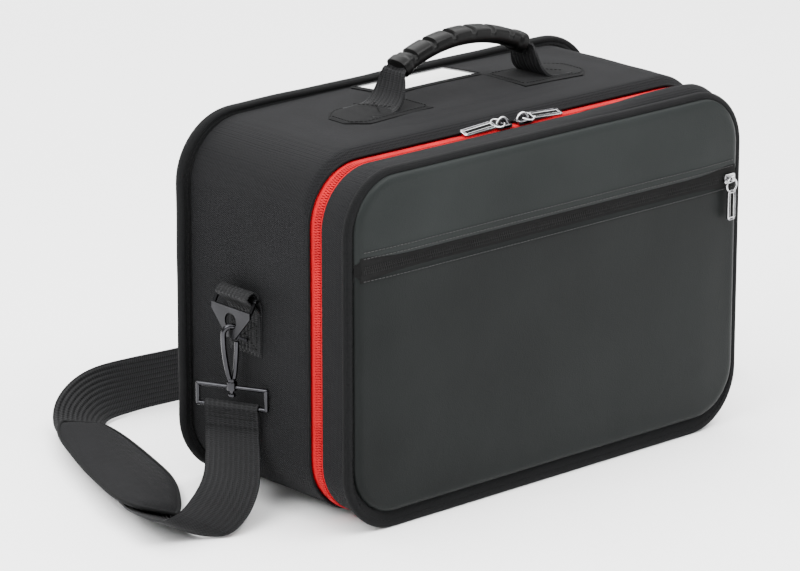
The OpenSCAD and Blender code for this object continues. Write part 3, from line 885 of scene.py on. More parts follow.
def case_surface(co):
    """The soft shape of the case's wall: a crowned top, ripples, and a lip drawn in to the zip."""
    x, y, z = co
    away = CASE.outward(x, z)
    pull = ease((CASE_LOW.y + 5 - y) / 8)
    if pull > 0:
        cx, cz = CASE.core(x, z)
        out = math.hypot(x - cx, z - cz) - CASE.radius
        lx, lz = LID.at(x, z, out + 1.7 + 0.8 * ripple(x, y, z, 13, 6.6) * pull)
        x, z = x + (lx - x) * pull, z + (lz - z) * pull
    if z > CASE.middle and abs(x) < 175 and abs(away.y) > FACE_TURN:
        z += crown(x, y)
    soft = ease((y - CASE_LOW.y) / 25) * ease((REAR_LOW.y - y) / 20)
    wave = (0.9 * ripple(x, y, z, 55, 1.7) + 0.5 * ripple(x, y, z, 24, 4.1)) * soft
    return Vector((x + away.x * wave, y, z + away.y * wave))


def lid_surface(co):
    """The lid's wall, which swells between the zip and the front binding, more towards the top's right."""
    x, y, z = co
    away = LID.outward(x, z)
    bulge = math.sin(math.pi * max(0, min(1, (y - LID_LOW.y) / (LID_HIGH.y - 4 - LID_LOW.y)))) ** 0.8
    swell = 1.0 + 6.5 * ease((x + 20) / 170) if z >= LID.middle + 60 else 0.0
    wave = (0.8 * ripple(x, y, z, 40, 7.3) + 0.4 * ripple(x, y, z, 18, 2.2)) * bulge
    return Vector((x + away.x * wave, y, z + away.y * wave + swell * bulge * max(0, away.y)))


def bind(name, outline, profile, spacing, body, node, waves, seam, stitch):
    """A binding round an outline: its folded profile, small waves, and a row of stitches.

    The waves are depth, size, seed, the height below which it lies flat, and how far the floor folds it in.
    The seam is Y, out from the outline, and the stitches' pitch."""
    depth, size, seed, foot, fold = waves

    def uneven(co):
        x, y, z = co
        away = outline.outward(x, z)
        inside = outline.depth_inside(x, z)
        if inside > 5 and away.y < 0:
            z += fold * -away.y * ease((inside - 4) / 4)
        wave = depth * ripple(x, y, z, size, seed) if z >= foot else 0
        return Vector((x + away.x * wave, y + wave, max(0, z + away.y * wave)))

    rim = sweep(name, outline, profile, spacing, closed=True)
    move_vertices(rim, uneven)
    settle(rim, body, "binding", (node,), 60)
    y, out, pitch = seam
    rows = outline.ring(y, out, 6)
    stitches(f"{name}_stitches", stitch_line(rows + rows[:1], FRONT, pitch), body, "binding", *stitch)


# ---------------------------------------------------------------- settings


def colour_setting(name, description, default):
    return bpy.props.FloatVectorProperty(
        name=name, description=description, subtype="COLOR", size=3, min=0, max=1, default=default
    )


class FlightBagSettings(bpy.types.PropertyGroup):
    fabric: colour_setting("Fabric", "Colour of the outer fabric", (0.0052, 0.0053, 0.0058))
    binding: colour_setting("Binding", "Colour of the binding tape", (0.0032, 0.0033, 0.0035))
    leather: colour_setting("Leatherette", "Colour of the leatherette panels", (0.0068, 0.0079, 0.0077))
    webbing: colour_setting("Webbing", "Colour of the webbing", (0.0062, 0.0063, 0.0068))
    zip_red: colour_setting("Zip", "Colour of the main zip", (0.43, 0.004, 0.0105))
    tooth_pitch: bpy.props.FloatProperty(
        name="Tooth pitch", description="Distance between the main zip's teeth in millimetres",
        min=1.5, max=5, default=2.1,
    )
    strap_steps: bpy.props.IntProperty(
        name="Strap steps", description="Points between two stations of the strap", min=2, max=20, default=10,
    )


def settings():
    return bpy.context.scene.flight_bag


# ---------------------------------------------------------------- stage


class FLIGHTBAG_OT_stage(bpy.types.Operator):
    """Adds the floor, the soft lights and the camera"""

    bl_idname = "flightbag.stage"
    bl_label = "Stage"

    def execute(self, context):
        nothing_selected()
        bpy.ops.mesh.primitive_circle_add(vertices=96, radius=9, fill_type="NGON")
        floor = named("floor")
        floor.data.materials.append(material("floor"))

        world = bpy.data.worlds.new("Studio")
        world.use_nodes = True
        world.node_tree.nodes["Background"].inputs["Color"].default_value = (1, 1, 1, 1)
        world.node_tree.nodes["Background"].inputs["Strength"].default_value = 0.8
        context.scene.world = world

        target = Vector((-0.1, 0, 0.16))
        for name, at, size, power in (
            ("ceiling", (0.2, 0.3, 3.2), (7, 7), 780),
            ("key", (-1.9, -0.3, 1.5), (1.2, 1.0), 50),
            ("right", (2.2, -1.8, 0.9), (1.2, 1.2), 20),
            ("front", (0.0, -0.6, 1.0), (0.9, 0.25), 9),
            ("rim", (0.6, 2.2, 1.5), (1.8, 0.8), 5),
        ):
            bpy.ops.object.light_add(type="AREA", location=at)
            light = context.object
            light.name = name
            light.data.shape = "RECTANGLE"
            light.data.size, light.data.size_y = size
            light.data.energy = power
            light.rotation_euler = (target - Vector(at)).to_track_quat("-Z", "Y").to_euler()

        back = Vector((-0.63569, -0.71348, 0.29471)).normalized()
        camera_data = bpy.data.cameras.new("camera")
        camera = bpy.data.objects.new("camera", camera_data)
        context.scene.collection.objects.link(camera)
        camera.location = Vector((-2.27556, -2.46596, 1.17679))
        camera.rotation_euler = back.to_track_quat("Z", "Y").to_euler()
        camera_data.sensor_width = 36
        camera_data.lens = 194.715
        camera_data.clip_end = 50
        context.scene.camera = camera
        return {"FINISHED"}


# ---------------------------------------------------------------- case


class FLIGHTBAG_OT_case(bpy.types.Operator):
    """Models the case's fabric, its rear cover and its rear binding"""

    bl_idname = "flightbag.case"
    bl_label = "Case"

    def execute(self, context):
        start, back, steps = HEM_Y + 3, REAR_LOW.y + 2, 15
        hem = [
            (-3.4, HEM_Y + 7), (-2.8, HEM_Y), (-2.4, HEM_Y - 3.2), (-1.6, HEM_Y - 4.6), (-0.7, HEM_Y - 4.4),
            (-0.2, HEM_Y - 3.4), (0, HEM_Y - 1.5), (0.1, HEM_Y + 0.6), (0, start),
        ]
        run = [(0, start + (back - start) * i / steps) for i in range(1, steps + 1)]
        shell = sweep("case_shell", CASE, hem + run)
        move_vertices(shell, case_surface)
        thicken(shell, 1.6)
        settle(shell, "case", "fabric", ("case_gusset",))

        # The folded edge that frames the zip: a cord in the darker binding colour, partly the rolled hem and
        # partly a painted shadow line along it
        edge = wire("case_zip_hem_and_shadow", LID.ring(HEM_Y - 4.3, 0.9, 5), 1.1, cyclic=True, sides=2)
        settle(edge, "case", "binding", (), 80)

        y = REAR_HIGH.y
        cover = rounded_panel("rear_cover", CASE, CASE_LOW.z + 0.3, CASE_HIGH.z - 0.3, y, 12)

        def slack(co):
            full = 2.2 * ease(CASE.depth_inside(co.x, co.z) / 60)
            return Vector((co.x, y - 1.2 + full + 0.6 * ripple(co.x, co.z, 0, 60, 5.5), co.z))

        move_vertices(cover, slack)
        thicken(cover, CLOTH, -1 if cover.data.polygons[0].normal.y > 0 else 1)
        settle(cover, "case", "fabric", ("rear_panel",))

        # A rolled edge, a groove and a flat flange, folded round the seam
        low = REAR_LOW.y
        bind(
            "rear_rim", REAR_RIM,
            [
                (-10.2, low + 1.2), (-8.2, low), (-6.2, low + 0.1), (-4.9, low + 1.1), (-3.9, low + 0.2),
                (-2.0, low - 0.1), (-0.5, low + 1.2), (0.1, low + 3.4), (0.1, y - 3.2), (-0.9, y - 0.9),
                (-3.0, y + 0.2), (-6.0, y + 0.3), (-8.4, y - 0.2), (-10.2, y - 1.4),
            ],
            10, "case", "rear_binding", (0.5, 45, 9.1, 12, 0), (low - 0.2, -6.6, 4.5), (3.0, 0.38),
        )
        return {"FINISHED"}


# ---------------------------------------------------------------- zip


class FLIGHTBAG_OT_zip(bpy.types.Operator):
    """Models both halves of the main zip: their tapes and their coils"""

    bl_idname = "flightbag.zip"
    bl_label = "Main zip"

    def execute(self, context):
        gap = HINGE_HIGH.x - HINGE_LOW.x + 6
        pitch = settings().tooth_pitch
        for side, way in (("case", 1), ("lid", -1)):
            low, high = cad(f"{side}_zip_tape")
            inner, outer = (low.y, high.y) if way > 0 else (high.y, low.y)
            stations = [
                (-1.5, inner - way * 0.65), (-1.3, inner + way * 1.6), (-1.3, inner + way * 4),
                (-1.55, inner + way * 7), (-1.7, outer),
            ]
            tape = sweep(f"{side}_tape", LID, stations, 8, gap_below=True)
            thicken(tape, 0.9)
            settle(tape, side, "red_tape", (f"{side}_zip_tape",))

            # The two halves' teeth stand half a pitch apart
            part = capsule(3.9, 0.82, 7)
            placements = []
            for point, tangent, away in LID.walk(-0.35, pitch, gap):
                point = point + tangent * (way * pitch / 4)
                at = Vector((point.x, ZIP_Y + way * 1.55, point.y))
                placements.append(basis(BACK, Vector((away.x, 0, away.y)), at))
            row = repeat(f"{side}_coil", part, placements)
            settle(row, side, "red_coil", (f"{side}_zip_teeth",), 80)

            # The woven cord that the coil is sewn to
            cord = wire(f"{side}_coil_cord", LID.ring(ZIP_Y + way * 3.9, -1.0, 4, gap), 0.55, sides=1)
            settle(cord, side, "red_tape", (), 80)
        return {"FINISHED"}


# ---------------------------------------------------------------- lid


class FLIGHTBAG_OT_lid(bpy.types.Operator):
    """Models the lid's fabric, its binding and the hinge below it"""

    bl_idname = "flightbag.lid"
    bl_label = "Lid"

    def execute(self, context):
        low, high, steps = LID_LOW.y + 0.4, LID_HIGH.y, 8
        run = [(0, low + (high - 2.5 - low) * i / steps) for i in range(steps + 1)]
        roll = [(-0.2, high - 1.2), (-1.0, high - 0.2), (-1.55, high + 0.3)]
        shell = sweep("lid_shell", LID, run + roll, gap_below=True)
        move_vertices(shell, lid_surface)
        thicken(shell, CLOTH)
        settle(shell, "lid", "fabric", ("lid_gusset",))

        front, back = RIM_LOW.y, RIM_HIGH.y
        bind(
            "front_rim", FRONT_RIM,
            [
                (-8.6, front + 1.6), (-7.0, front + 0.2), (-4.6, front - 0.7), (-2.2, front - 0.4),
                (-0.5, front + 0.9), (0.1, front + 2.8), (-0.3, back - 1.0), (-1.6, back - 0.1),
                (-3.4, back), (-6.4, back - 0.4), (-8.6, back - 2),
            ],
            9, "lid", "front_binding", (0.35, 40, 3.9, 10, 7.5), (front - 0.55, -6.4, 4.0), (2.7, 0.32),
        )

        # Fabric hinge: a sagging sheet between the lid's foot and the case's
        hinge = grid("hinge_cloth", 40, 8, 1)
        size = HINGE_HIGH - HINGE_LOW
        middle = (HINGE_HIGH + HINGE_LOW) / 2

        def sagging(co):
            x, y = middle.x + co.x * size.x, middle.y + co.y * size.y
            sag = 0.8 * math.cos(math.pi * co.y) + 0.3 * ripple(x, y, 0, 30, 6.1)
            return Vector((x, y, HINGE_LOW.z + 1.5 - sag))

        move_vertices(hinge, sagging)
        thicken(hinge, CLOTH, 0)
        settle(hinge, "case", "fabric", ("hinge_panel",))
        return {"FINISHED"}


# ---------------------------------------------------------------- front panels

SLIT_LOW, SLIT_HIGH = LOWER_HIGH.z + 2, UPPER_LOW.z - 1.5


def panel_surface(upper):
    """The padded shape of the upper or the lower leatherette panel, soft along the pocket's slit."""
    face = (UPPER_LOW if upper else LOWER_LOW).y + 0.6

    def rule(co):
        x, _, z = co
        sides = PANEL.depth_inside(x, z)
        edge = min(sides, z - SLIT_HIGH if upper else SLIT_LOW - z)
        drop = 4.6 * (1 - math.sqrt(max(0, 1 - (1 - min(1, edge / 6.5)) ** 2)))
        long_fall = 1.6 * (1 - ease(sides / 48))
        puff = -0.8 * ease(sides / 90)
        wander = 0.55 * ripple(x, z, 0, 75, 2.6) + 0.22 * ripple(x, z, 0, 28, 8.8)
        return Vector((x, face + drop + long_fall + puff + wander * ease(edge / 12), z))

    return rule


def leather_panel(name, low_z, high_z, node, paint):
    panel = rounded_panel(name, PANEL, low_z, high_z, 0, 7)
    move_vertices(panel, panel_surface(node == "upper_panel"))
    if panel.data.polygons[0].normal.y > 0:
        flip(panel)
    # The turned edge, back into the binding
    with editing(panel, "EDGE"):
        bpy.ops.mesh.select_all(action="DESELECT")
        bpy.ops.mesh.select_non_manifold()
        bpy.ops.mesh.extrude_edges_move(TRANSFORM_OT_translate={"value": (0, 3.2, 0)})
    thicken(panel, 1.1)
    settle(panel, "lid", paint, (node,), 50)


class FLIGHTBAG_OT_front(bpy.types.Operator):
    """Models the leatherette panels, their stitching and the pocket's zip"""

    bl_idname = "flightbag.front"
    bl_label = "Front panels"

    def execute(self, context):
        # The upper panel gets the much lighter copy of the leatherette and the lower the darker one: painted
        # light and painted shade for the light falling from above
        leather_panel("upper_leather", SLIT_HIGH, UPPER_HIGH.z, "upper_panel", "padded_leather")
        leather_panel("lower_leather", LOWER_LOW.z, SLIT_LOW, "lower_panel", "leather")

        low, high = cad("upper_padding")
        size = (high.x - low.x - 24, 4, high.z - low.z - 14)
        foam = block("upper_foam", (low + high) / 2 + Vector((0, 2.2, 0)), size)
        soften(foam, 1.4, 3)
        settle(foam, "lid", "foam", ("upper_padding",))

        self.pocket_zip()

        # Two rows of stitching over the pocket's zip, and one under it
        lines = []
        for z, upper in ((SLIT_HIGH + 4.5, True), (SLIT_HIGH + 9.5, True), (SLIT_LOW - 5, False)):
            rule = panel_surface(upper)
            half = PANEL.half_width(z) - 6
            points = [rule(Vector((-half + 2 * half * i / 80, 0, z))) for i in range(81)]
            for p in points:
                p.y -= 0.4
            lines += stitch_line(points, FRONT, 3.6)
        stitches("pocket_stitches", lines, "lid", "leatherette", 2.5, 0.34, "grey_thread")
        return {"FINISHED"}

    def pocket_zip(self):
        """The pocket's tape, tucked behind the binding at both ends, and its coil."""
        tape_low, tape_high = cad("pocket_zip_tape")
        teeth_low, teeth_high = cad("pocket_zip_teeth")
        middle = (teeth_low.z + teeth_high.z) / 2
        span = 2 * PANEL.half_width(middle)

        def laid(co):
            x, z = co.x * span, middle + co.y * (tape_high.z - tape_low.z)
            tent = 0.7 * math.cos(math.pi * co.y) ** 2
            tucked = 4.5 * ease((abs(x) - 203) / 4.5)
            return Vector((x, tape_low.y + 0.5 - tent + tucked + 0.1 * ripple(x, z, 0, 20, 3.3), z))

        tape = grid("pocket_tape", 200, 10, 1)
        move_vertices(tape, laid)
        face_out(tape)
        thicken(tape, 0.7, 0)
        settle(tape, "lid", "black_tape", ("pocket_zip_tape",))

        row, pitch = span - 12, 2.2
        placements = []
        for i in range(int(row / pitch)):
            x = -row / 2 + (i + 0.5) * pitch
            for way in (-1, 1):
                at = Vector((x + way * pitch / 4, teeth_high.y - 0.45, middle + way * 1.35))
                placements.append(basis(UP, FRONT, at))
        coil = repeat("pocket_coil", capsule(3.4, 0.55, 7), placements)
        settle(coil, "lid", "black_coil", ("pocket_zip_teeth",), 80)


# ---------------------------------------------------------------- sliders and pulls


def round_corners(piece, axis, offset, segments):
    """Bevels a box's edges that run along an axis."""
    choose_edges(piece, lambda a, b: abs((a.co - b.co)[axis]) > 1)
    with editing(piece, "EDGE"):
        bpy.ops.mesh.bevel(offset=offset, segments=segments, affect="EDGES")


def place_pull(name, placement, body, tab_length):
    """A zip pull at its pin, modelled hanging along -Z: a ring of wire and a framed tab with an inlay."""
    ring, arm, half = 5.6, 10.0, 4.5
    turns = (2 * math.pi * i / 28 for i in range(28))
    arch = [Vector((ring * math.sin(a), 0, -arm / 2 - 0.1 + (arm / 2 + 0.6) * math.cos(a))) for a in turns]
    loop = wire(name + "_ring", arch, 0.95, cyclic=True)
    centre = (0, 0, -arm - tab_length / 2 + 1.2)
    tab = block(name + "_tab", centre, (2 * half, 2.0, tab_length))
    round_corners(tab, 1, 2.0, 4)
    choose_faces(tab, lambda f: abs(f.normal.y) > FACE_TURN)
    with editing(tab, "FACE"):
        bpy.ops.mesh.inset(thickness=0.8, use_individual=True)
    for face in tab.data.polygons:
        if face.select:
            face.material_index = 1
    with editing(tab, "FACE"):
        bpy.ops.mesh.extrude_region_shrink_fatten(TRANSFORM_OT_shrink_fatten={"value": -0.5})
    soften(tab, 0.25, 2)
    for piece in (loop, tab):
        piece.data.transform(placement)
    settle(loop, body, "chrome", (body,), 60)
    settle(tab, body, ("chrome", "enamel"), (), 40)


class FLIGHTBAG_OT_sliders(bpy.types.Operator):
    """Models the sliders' pulls and finishes the sliders"""

    bl_idname = "flightbag.sliders"
    bl_label = "Sliders and pulls"

    def execute(self, context):
        for side, way in SIDES:
            low, high = cad(f"slider_{side}")
            pin = Vector(((low.x + high.x) / 2, (low.y + high.y) / 2, high.z - 2.8))
            turned = (
                Matrix.Translation(pin)
                @ Matrix.Rotation(math.radians(20), 4, "X")
                @ Matrix.Rotation(-way * math.radians(86), 4, "Y")
                @ Matrix.Rotation(math.pi / 2, 4, "Z")
            )
            place_pull(f"pull_{side}_puller", turned, f"pull_{side}", 33)
            self.slider_body(side, low, high, pin)

        low, high = cad("pocket_slider")
        pull_low, pull_high = cad("pocket_pull")
        pin = Vector(((low.x + high.x) / 2, (pull_low.y + pull_high.y) / 2, (low.z + high.z) / 2))
        place_pull("pocket_puller", Matrix.Translation(pin), "pocket_pull", 26)
        finish_node("pocket_slider", "chrome")
        return {"FINISHED"}

    def slider_body(self, side, low, high, pin):
        """A slider's shield: a plate with rounded corners and a raised face, and its bridge."""
        body, plate_z = f"slider_{side}", pin.z - 2.0
        size = (high.x - low.x, high.y - low.y, 1.8)
        plate = block(f"{body}_shield", (pin.x, pin.y, plate_z - 0.9), size)
        round_corners(plate, 2, 3.4, 5)
        choose_faces(plate, lambda f: f.normal.z > FACE_TURN)
        with editing(plate, "FACE"):
            bpy.ops.mesh.inset(thickness=1.2)
            bpy.ops.mesh.extrude_region_move(TRANSFORM_OT_translate={"value": (0, 0, 0.35)})
        soften(plate, 0.3, 2, 30)
        settle(plate, body, "slider", (), 40)
        turns = (math.pi * i / 14 for i in range(15))
        arch = [Vector((pin.x + 6.2 * math.cos(a), pin.y, plate_z - 0.8 + 6.6 * math.sin(a))) for a in turns]
        settle(wire(f"{body}_bridge", arch, 1.0), body, "chrome", (), 60)
        finish_node(body, "slider")


# ---------------------------------------------------------------- handle


class FLIGHTBAG_OT_handle(bpy.types.Operator):
    """Models the grip, the webbing at its ends and the patches"""

    bl_idname = "flightbag.handle"
    bl_label = "Handle"

    def execute(self, context):
        low, high = cad("handle_grip")
        middle_y = (low.y + high.y) / 2
        half, rise = (high.x - low.x) / 2, 16.0
        end_z = high.z - 8 - rise
        radius = (half**2 + rise**2) / (2 * rise)
        self.grip(middle_y, radius, end_z + rise - radius, math.asin(half / radius))
        for side, way in SIDES:
            self.webbing(side, way, middle_y, end_z)
            self.patch(side, way, middle_y)
        return {"FINISHED"}

    def grip(self, y, radius, centre_z, swing):
        """An arched grip of moulded rubber, with finger blocks on top and solid ends."""

        def wrapped(co):
            t, turn = co.x, math.pi * co.y
            angle, end = t * swing, abs(t)
            collar = ease((end - 0.86) / 0.06)
            blocks = 0.5 + 0.5 * math.cos(6.6 * math.pi * (t + 0.04))
            groove = ease((0.17 - blocks) / 0.13) * ease((0.84 - end) / 0.03)
            c, s = math.cos(turn), math.sin(turn)
            side = (10.0 + 1.4 * collar) * math.copysign(abs(s) ** 0.75, s)
            up = (7.4 + 1.2 * collar) * math.copysign(abs(c) ** 0.75, c)
            if c > 0.1:
                up -= 2.3 * groove * ease(c * 1.6)
                side *= 1 - 0.05 * groove
            r = radius + up
            return Vector((r * math.sin(angle), y + side, centre_z + r * math.cos(angle)))

        grip = grid("grip", 190, 28)
        move_vertices(grip, wrapped)
        with editing(grip):
            bpy.ops.mesh.select_all(action="SELECT")
            bpy.ops.mesh.remove_doubles(threshold=0.01)
            bpy.ops.mesh.select_all(action="DESELECT")
            bpy.ops.mesh.select_non_manifold()
            bpy.ops.mesh.edge_face_add()
        face_out(grip)
        soften(grip, 0.5, 2, 60)
        settle(grip, "handle", "grip", ("handle_grip",), 40)

    def webbing(self, side, way, y, end_z):
        """A strap of webbing from under the patch, up and round the grip's end."""
        foot = CASE_TOP + crown(way * 75, y)
        stations = (
            (108, foot + 0.6, 38), (96, foot + 0.9, 38), (84, foot + 2.2, 38), (76, foot + 9, 36),
            (71.5, foot + 19, 31), (69, foot + 28, 25), (66.5, end_z - 1, 21), (63, end_z + 3.5, 18.5),
            (58, end_z + 6, 17.5),
        )
        curve = smooth_points([Vector((way * x, y, z)) for x, z, _ in stations], 8)
        wide = [w.x for w in smooth_points([Vector((w, 0, 0)) for _, _, w in stations], 8)]

        def ribbed(run, across, width):
            waist = 1 - (width - 19) / 19
            fold = 2.2 * waist * (2 * across / width) ** 2 * ease(run / 30)
            return 0.25 * math.sin(2 * math.pi * across / 3.2 * 38 / width) - fold

        node = f"handle_webbing_{side}"
        frames = frames_along(curve, Vector((0, -way, 0)))
        piece = band(f"handle_strap_{side}", frames, wide, 2.0, 36, ribbed, None, node)
        way * 0.078
        y * MM
        way * 0.069
        y * MM
        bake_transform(piece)

    def patch(self, side, way, y):
        """The patch that holds the webbing down: a house shape of doubled fabric."""
        low, high = cad(f"handle_patch_{side}")
        inner, outer = (high.x, low.x) if way < 0 else (low.x, high.x)
        half = (high.y - low.y) / 2

        def place(t, s, lift=0.0):
            """The point at t, from 0 inside to 1 outside, and s, from -1 to 1 across."""
            x = inner + (outer - inner) * t
            py = y + s * half * (1 - 0.6 * max(0, (t - 0.82) / 0.18)) * (1 - 0.03 * t)
            edge = min(t * 80, (1 - t) * 80, (1 - abs(s)) * half)
            lump = 2.2 * math.exp(-((abs(x) - 96) / 20) ** 2) * (1 - min(1, abs(s) * half / 21) ** 6)
            return on_top(x, py, 1.6 - 0.9 * (1 - ease(edge / 3)) + lump + lift)

        patch = grid(f"patch_{side}", 32, 20)
        move_vertices(patch, lambda co: place((co.x + 1) / 2, co.y))
        face_out(patch)
        if patch.data.polygons[0].normal.z < 0:
            flip(patch)
        thicken(patch, 1.8)
        settle(patch, "case", "binding", (f"handle_patch_{side}",), 50)

        out = [(t / 20, -0.86) for t in range(1, 20)] + [(0.95, s / 10) for s in range(-8, 9)]
        home = [(t / 20, 0.86) for t in range(19, 0, -1)] + [(0.04, s / 10) for s in range(8, -9, -1)]
        rows = stitch_line([place(t, s, 0.25) for t, s in out + home], UP, 3.6)
        for s in (0.7, -0.7):
            rows += stitch_line([place(0.35, -s, 2.2), place(0.62, s, 2.2)], UP, 3.6)
        stitches(f"patch_{side}_stitches", rows, "case", "binding", 2.5, 0.34)


# ---------------------------------------------------------------- label window


class FLIGHTBAG_OT_label(bpy.types.Operator):
    """Models the label window: its frame, its film and its card"""

    bl_idname = "flightbag.label"
    bl_label = "Label window"

    def execute(self, context):
        low, high = cad("label_frame")
        centre = (low + high) / 2
        half_x, half_y = (high.x - low.x) / 2, (high.y - low.y) / 2
        border = 6

        def rolled(co):
            x, y = co.x * half_x, co.y * half_y
            edge = abs(min(half_x - abs(x), half_y - abs(y)) - border / 2) / (border / 2)
            corner = max(0, abs(co.x) - 0.92) / 0.08 * max(0, abs(co.y) - 0.84) / 0.16
            x, y = x * (1 - 0.03 * corner), y * (1 - 0.06 * corner)
            return on_top(centre.x + x, centre.y + y, 1.5 - 0.5 * min(1, edge) ** 2)

        frame = grid("label_border", 52, 26)
        inner_x, inner_y = 1 - border / half_x, 1 - border / half_y
        choose_faces(frame, lambda f: abs(f.center.x) < inner_x and abs(f.center.y) < inner_y)
        with editing(frame, "FACE"):
            bpy.ops.mesh.delete(type="FACE")
        move_vertices(frame, rolled)
        face_out(frame)
        thicken(frame, CLOTH)
        settle(frame, "case", "binding", ("label_frame",), 50)

        for name, node, lift, swell, grow, paint, slot in (
            ("label_sheet", "label_card", 0.5, 0.0, 0.0, "card", "card"),
            ("label_film", "label_window", 1.25, 0.5, 0.8, "film", "clear_window"),
        ):
            reach = (cad(node)[1] - cad(node)[0]) / 2 + Vector((grow, grow, 0))
            sheet = grid(name, 24, 12)
            for v in sheet.data.vertices:
                full = swell * (1 - v.co.x**2) * (1 - v.co.y**2)
                v.co = on_top(centre.x + v.co.x * reach.x, centre.y + v.co.y * reach.y, lift + full)
            face_out(sheet)
            thicken(sheet, 0.25, 0)
            settle(sheet, "case", paint, (node,))

        corners = [(-1, -1), (1, -1), (1, 1), (-1, 1), (-1, -1)]
        seam_x, seam_y = half_x - border / 2, half_y - border / 2
        line = []
        for (ax, ay), (bx, by) in zip(corners, corners[1:]):
            for i in range(12):
                x, y = ax + (bx - ax) * i / 12, ay + (by - ay) * i / 12
                line.append(on_top(centre.x + x * seam_x, centre.y + y * seam_y, 1.75))
        line = stitch_line(line + line[:1], UP, 3.4)
        stitches("label_stitches", line, "case", "binding", 2.4, 0.3)
        return {"FINISHED"}


# ---------------------------------------------------------------- hooks

HANG = 16.0
ANCHOR_Y = (cad("anchor_left")[0].y + cad("anchor_left")[1].y) / 2


def turn_points(start, stop, step, radius, place):
    """Points round a bar, by degrees; place takes the two distances from its middle."""
    angles = (math.radians(a) for a in range(start, stop, step))
    return [place(radius * math.cos(a), radius * math.sin(a)) for a in angles]


class FLIGHTBAG_OT_hooks(bpy.types.Operator):
    """Models the webbing anchors, the hooks and the sewn strap ends, and finishes the rings"""

    bl_idname = "flightbag.hooks"
    bl_label = "Rings and hooks"

    def execute(self, context):
        for side, way in SIDES:
            self.anchor(side, way)
            self.strap_end(side, way)
            self.hook(side, way)
            for node, paint in (("ring", "steel"), ("gate", "steel"), ("strap_loop", "nickel")):
                finish_node(f"{node}_{side}", paint)
        return {"FINISHED"}

    def anchor(self, side, way):
        """Webbing sewn to the case, up over the ring's bar and down again."""
        low, high = cad("anchor_left")
        bar_x, bar_z = low.x + 7.5, high.z - 7.5

        def point(x, z):
            return Vector((x, ANCHOR_Y, z))

        wall = -SIDE_X
        points = [point(wall - 0.8, low.z + 1), point(wall - 0.8, (low.z + bar_z) / 2)]
        points.append(point(wall - 1.0, bar_z - 8))
        points += turn_points(-20, 205, 25, 5.6, lambda x, z: point(bar_x + x, bar_z + z))
        points += [point(wall - 4.2, bar_z - 10), point(wall - 2.3, bar_z - 18), point(wall - 2.1, low.z + 4)]
        frames = frames_along(smooth_points(points, 5), BACK)
        node = f"anchor_{side}"
        band(f"{node}_webbing", frames, 38, 1.2, 36, ribs(0.16, 3.7), "case", node, way=way)

        # A square of stitches with a cross in it
        foot, top, half = low.z + 7, bar_z - 22, 15
        rows = []
        for z0, z1, y0, y1 in (
            (foot, foot, -half, half), (foot, top, half, half), (top, top, half, -half),
            (top, foot, -half, -half), (foot, top, -half, half), (foot, top, half, -half),
        ):
            ends = [Vector((wall - 2.85, ANCHOR_Y + y, z)) for y, z in ((y0, z0), (y1, z1))]
            rows += stitch_line(ends, LEFT, 3.2)
        stitches(f"anchor_{side}_stitches", rows, "case", "webbing", 2.4, 0.34, way=way)

    def hook(self, side, way):
        """A swivel hook: a barrel, two legs that open like a drop, and a claw through the ring."""
        low, high = cad("hook_left")
        centre = Vector((-SIDE_X - HANG, ANCHOR_Y, 0))
        yaw = math.radians(39)
        across = Vector((math.cos(yaw), -math.sin(yaw), 0))
        boss, claw = low.z + 8, high.z - 8
        back = [(-0.8, boss + 4), (-2.6, boss + 10), (-4.6, boss + 21), (-6.0, boss + 33), (-6.3, claw - 3)]
        back += turn_points(180, 10, -24, 6.2, lambda u, z: (u, claw + z))
        front = [(0.8, boss + 4), (2.3, boss + 10), (3.5, boss + 22), (4.3, claw - 6.4)]

        def path(points):
            return smooth_points([centre + across * u + UP * z for u, z in points], 5)

        parts = [wire("back_leg", path(back), 2.25), wire("front_leg", path(front), 2.0)]
        for z, radius, height in (
            (low.z + 1.4, 3.0, 2.6), (boss - 3, 1.7, 9), (boss + 2.6, 4.2, 3.6), (boss + 5.6, 3.3, 3.0),
        ):
            nothing_selected()
            at = centre + UP * z
            bpy.ops.mesh.primitive_cylinder_add(vertices=24, radius=radius, depth=height, location=at)
            part = named("barrel")
            soften(part, 0.5, 3, 50)
            parts.append(part)
        body = sided(join(f"hook_{side}_body", parts), way)
        settle(body, f"hook_{side}", "nickel", (f"hook_{side}",), 50)

    def strap_end(self, side, way):
        """The strap's end, round the loop's lower wire and sewn back on itself."""
        low, high = cad("strap_end_left")
        wire_z = high.z - 4
        yaw = math.radians(-63)
        across = Vector((math.cos(yaw), math.sin(yaw), 0))
        out = across.cross(UP)
        centre = Vector(((low.x + high.x) / 2, (low.y + high.y) / 2, 0))

        def point(o, z):
            return centre + out * o + UP * z

        points = [point(-1.1, low.z), point(-1.1, low.z + 6), point(-1.6, wire_z - 4)]
        points += turn_points(200, -30, -22, 3.0, lambda o, z: point(o, wire_z + z))
        points += [point(1.6, wire_z - 4.5), point(1.1, low.z + 5), point(1.1, low.z)]
        frames = frames_along(smooth_points(points, 5), across)
        body = f"strap_end_{side}"
        band(f"{body}_fold", frames, 45, 1.8, 44, ribs(0.25), body, body, way=way)
        rows = []
        for z in (low.z + 7, low.z + 10.5):
            for face in (-1, 1):
                ends = [point(2.25 * face, z) + across * reach for reach in (-21, 21)]
                rows += stitch_line(ends, out * face, 3.0)
        stitches(f"{body}_stitches", rows, body, "webbing", 2.3, 0.34, way=way)


# ---------------------------------------------------------------- strap

END_Z = 67.9
FRONT_Y = RIM_LOW.y
REAR_Y = REAR_HIGH.y

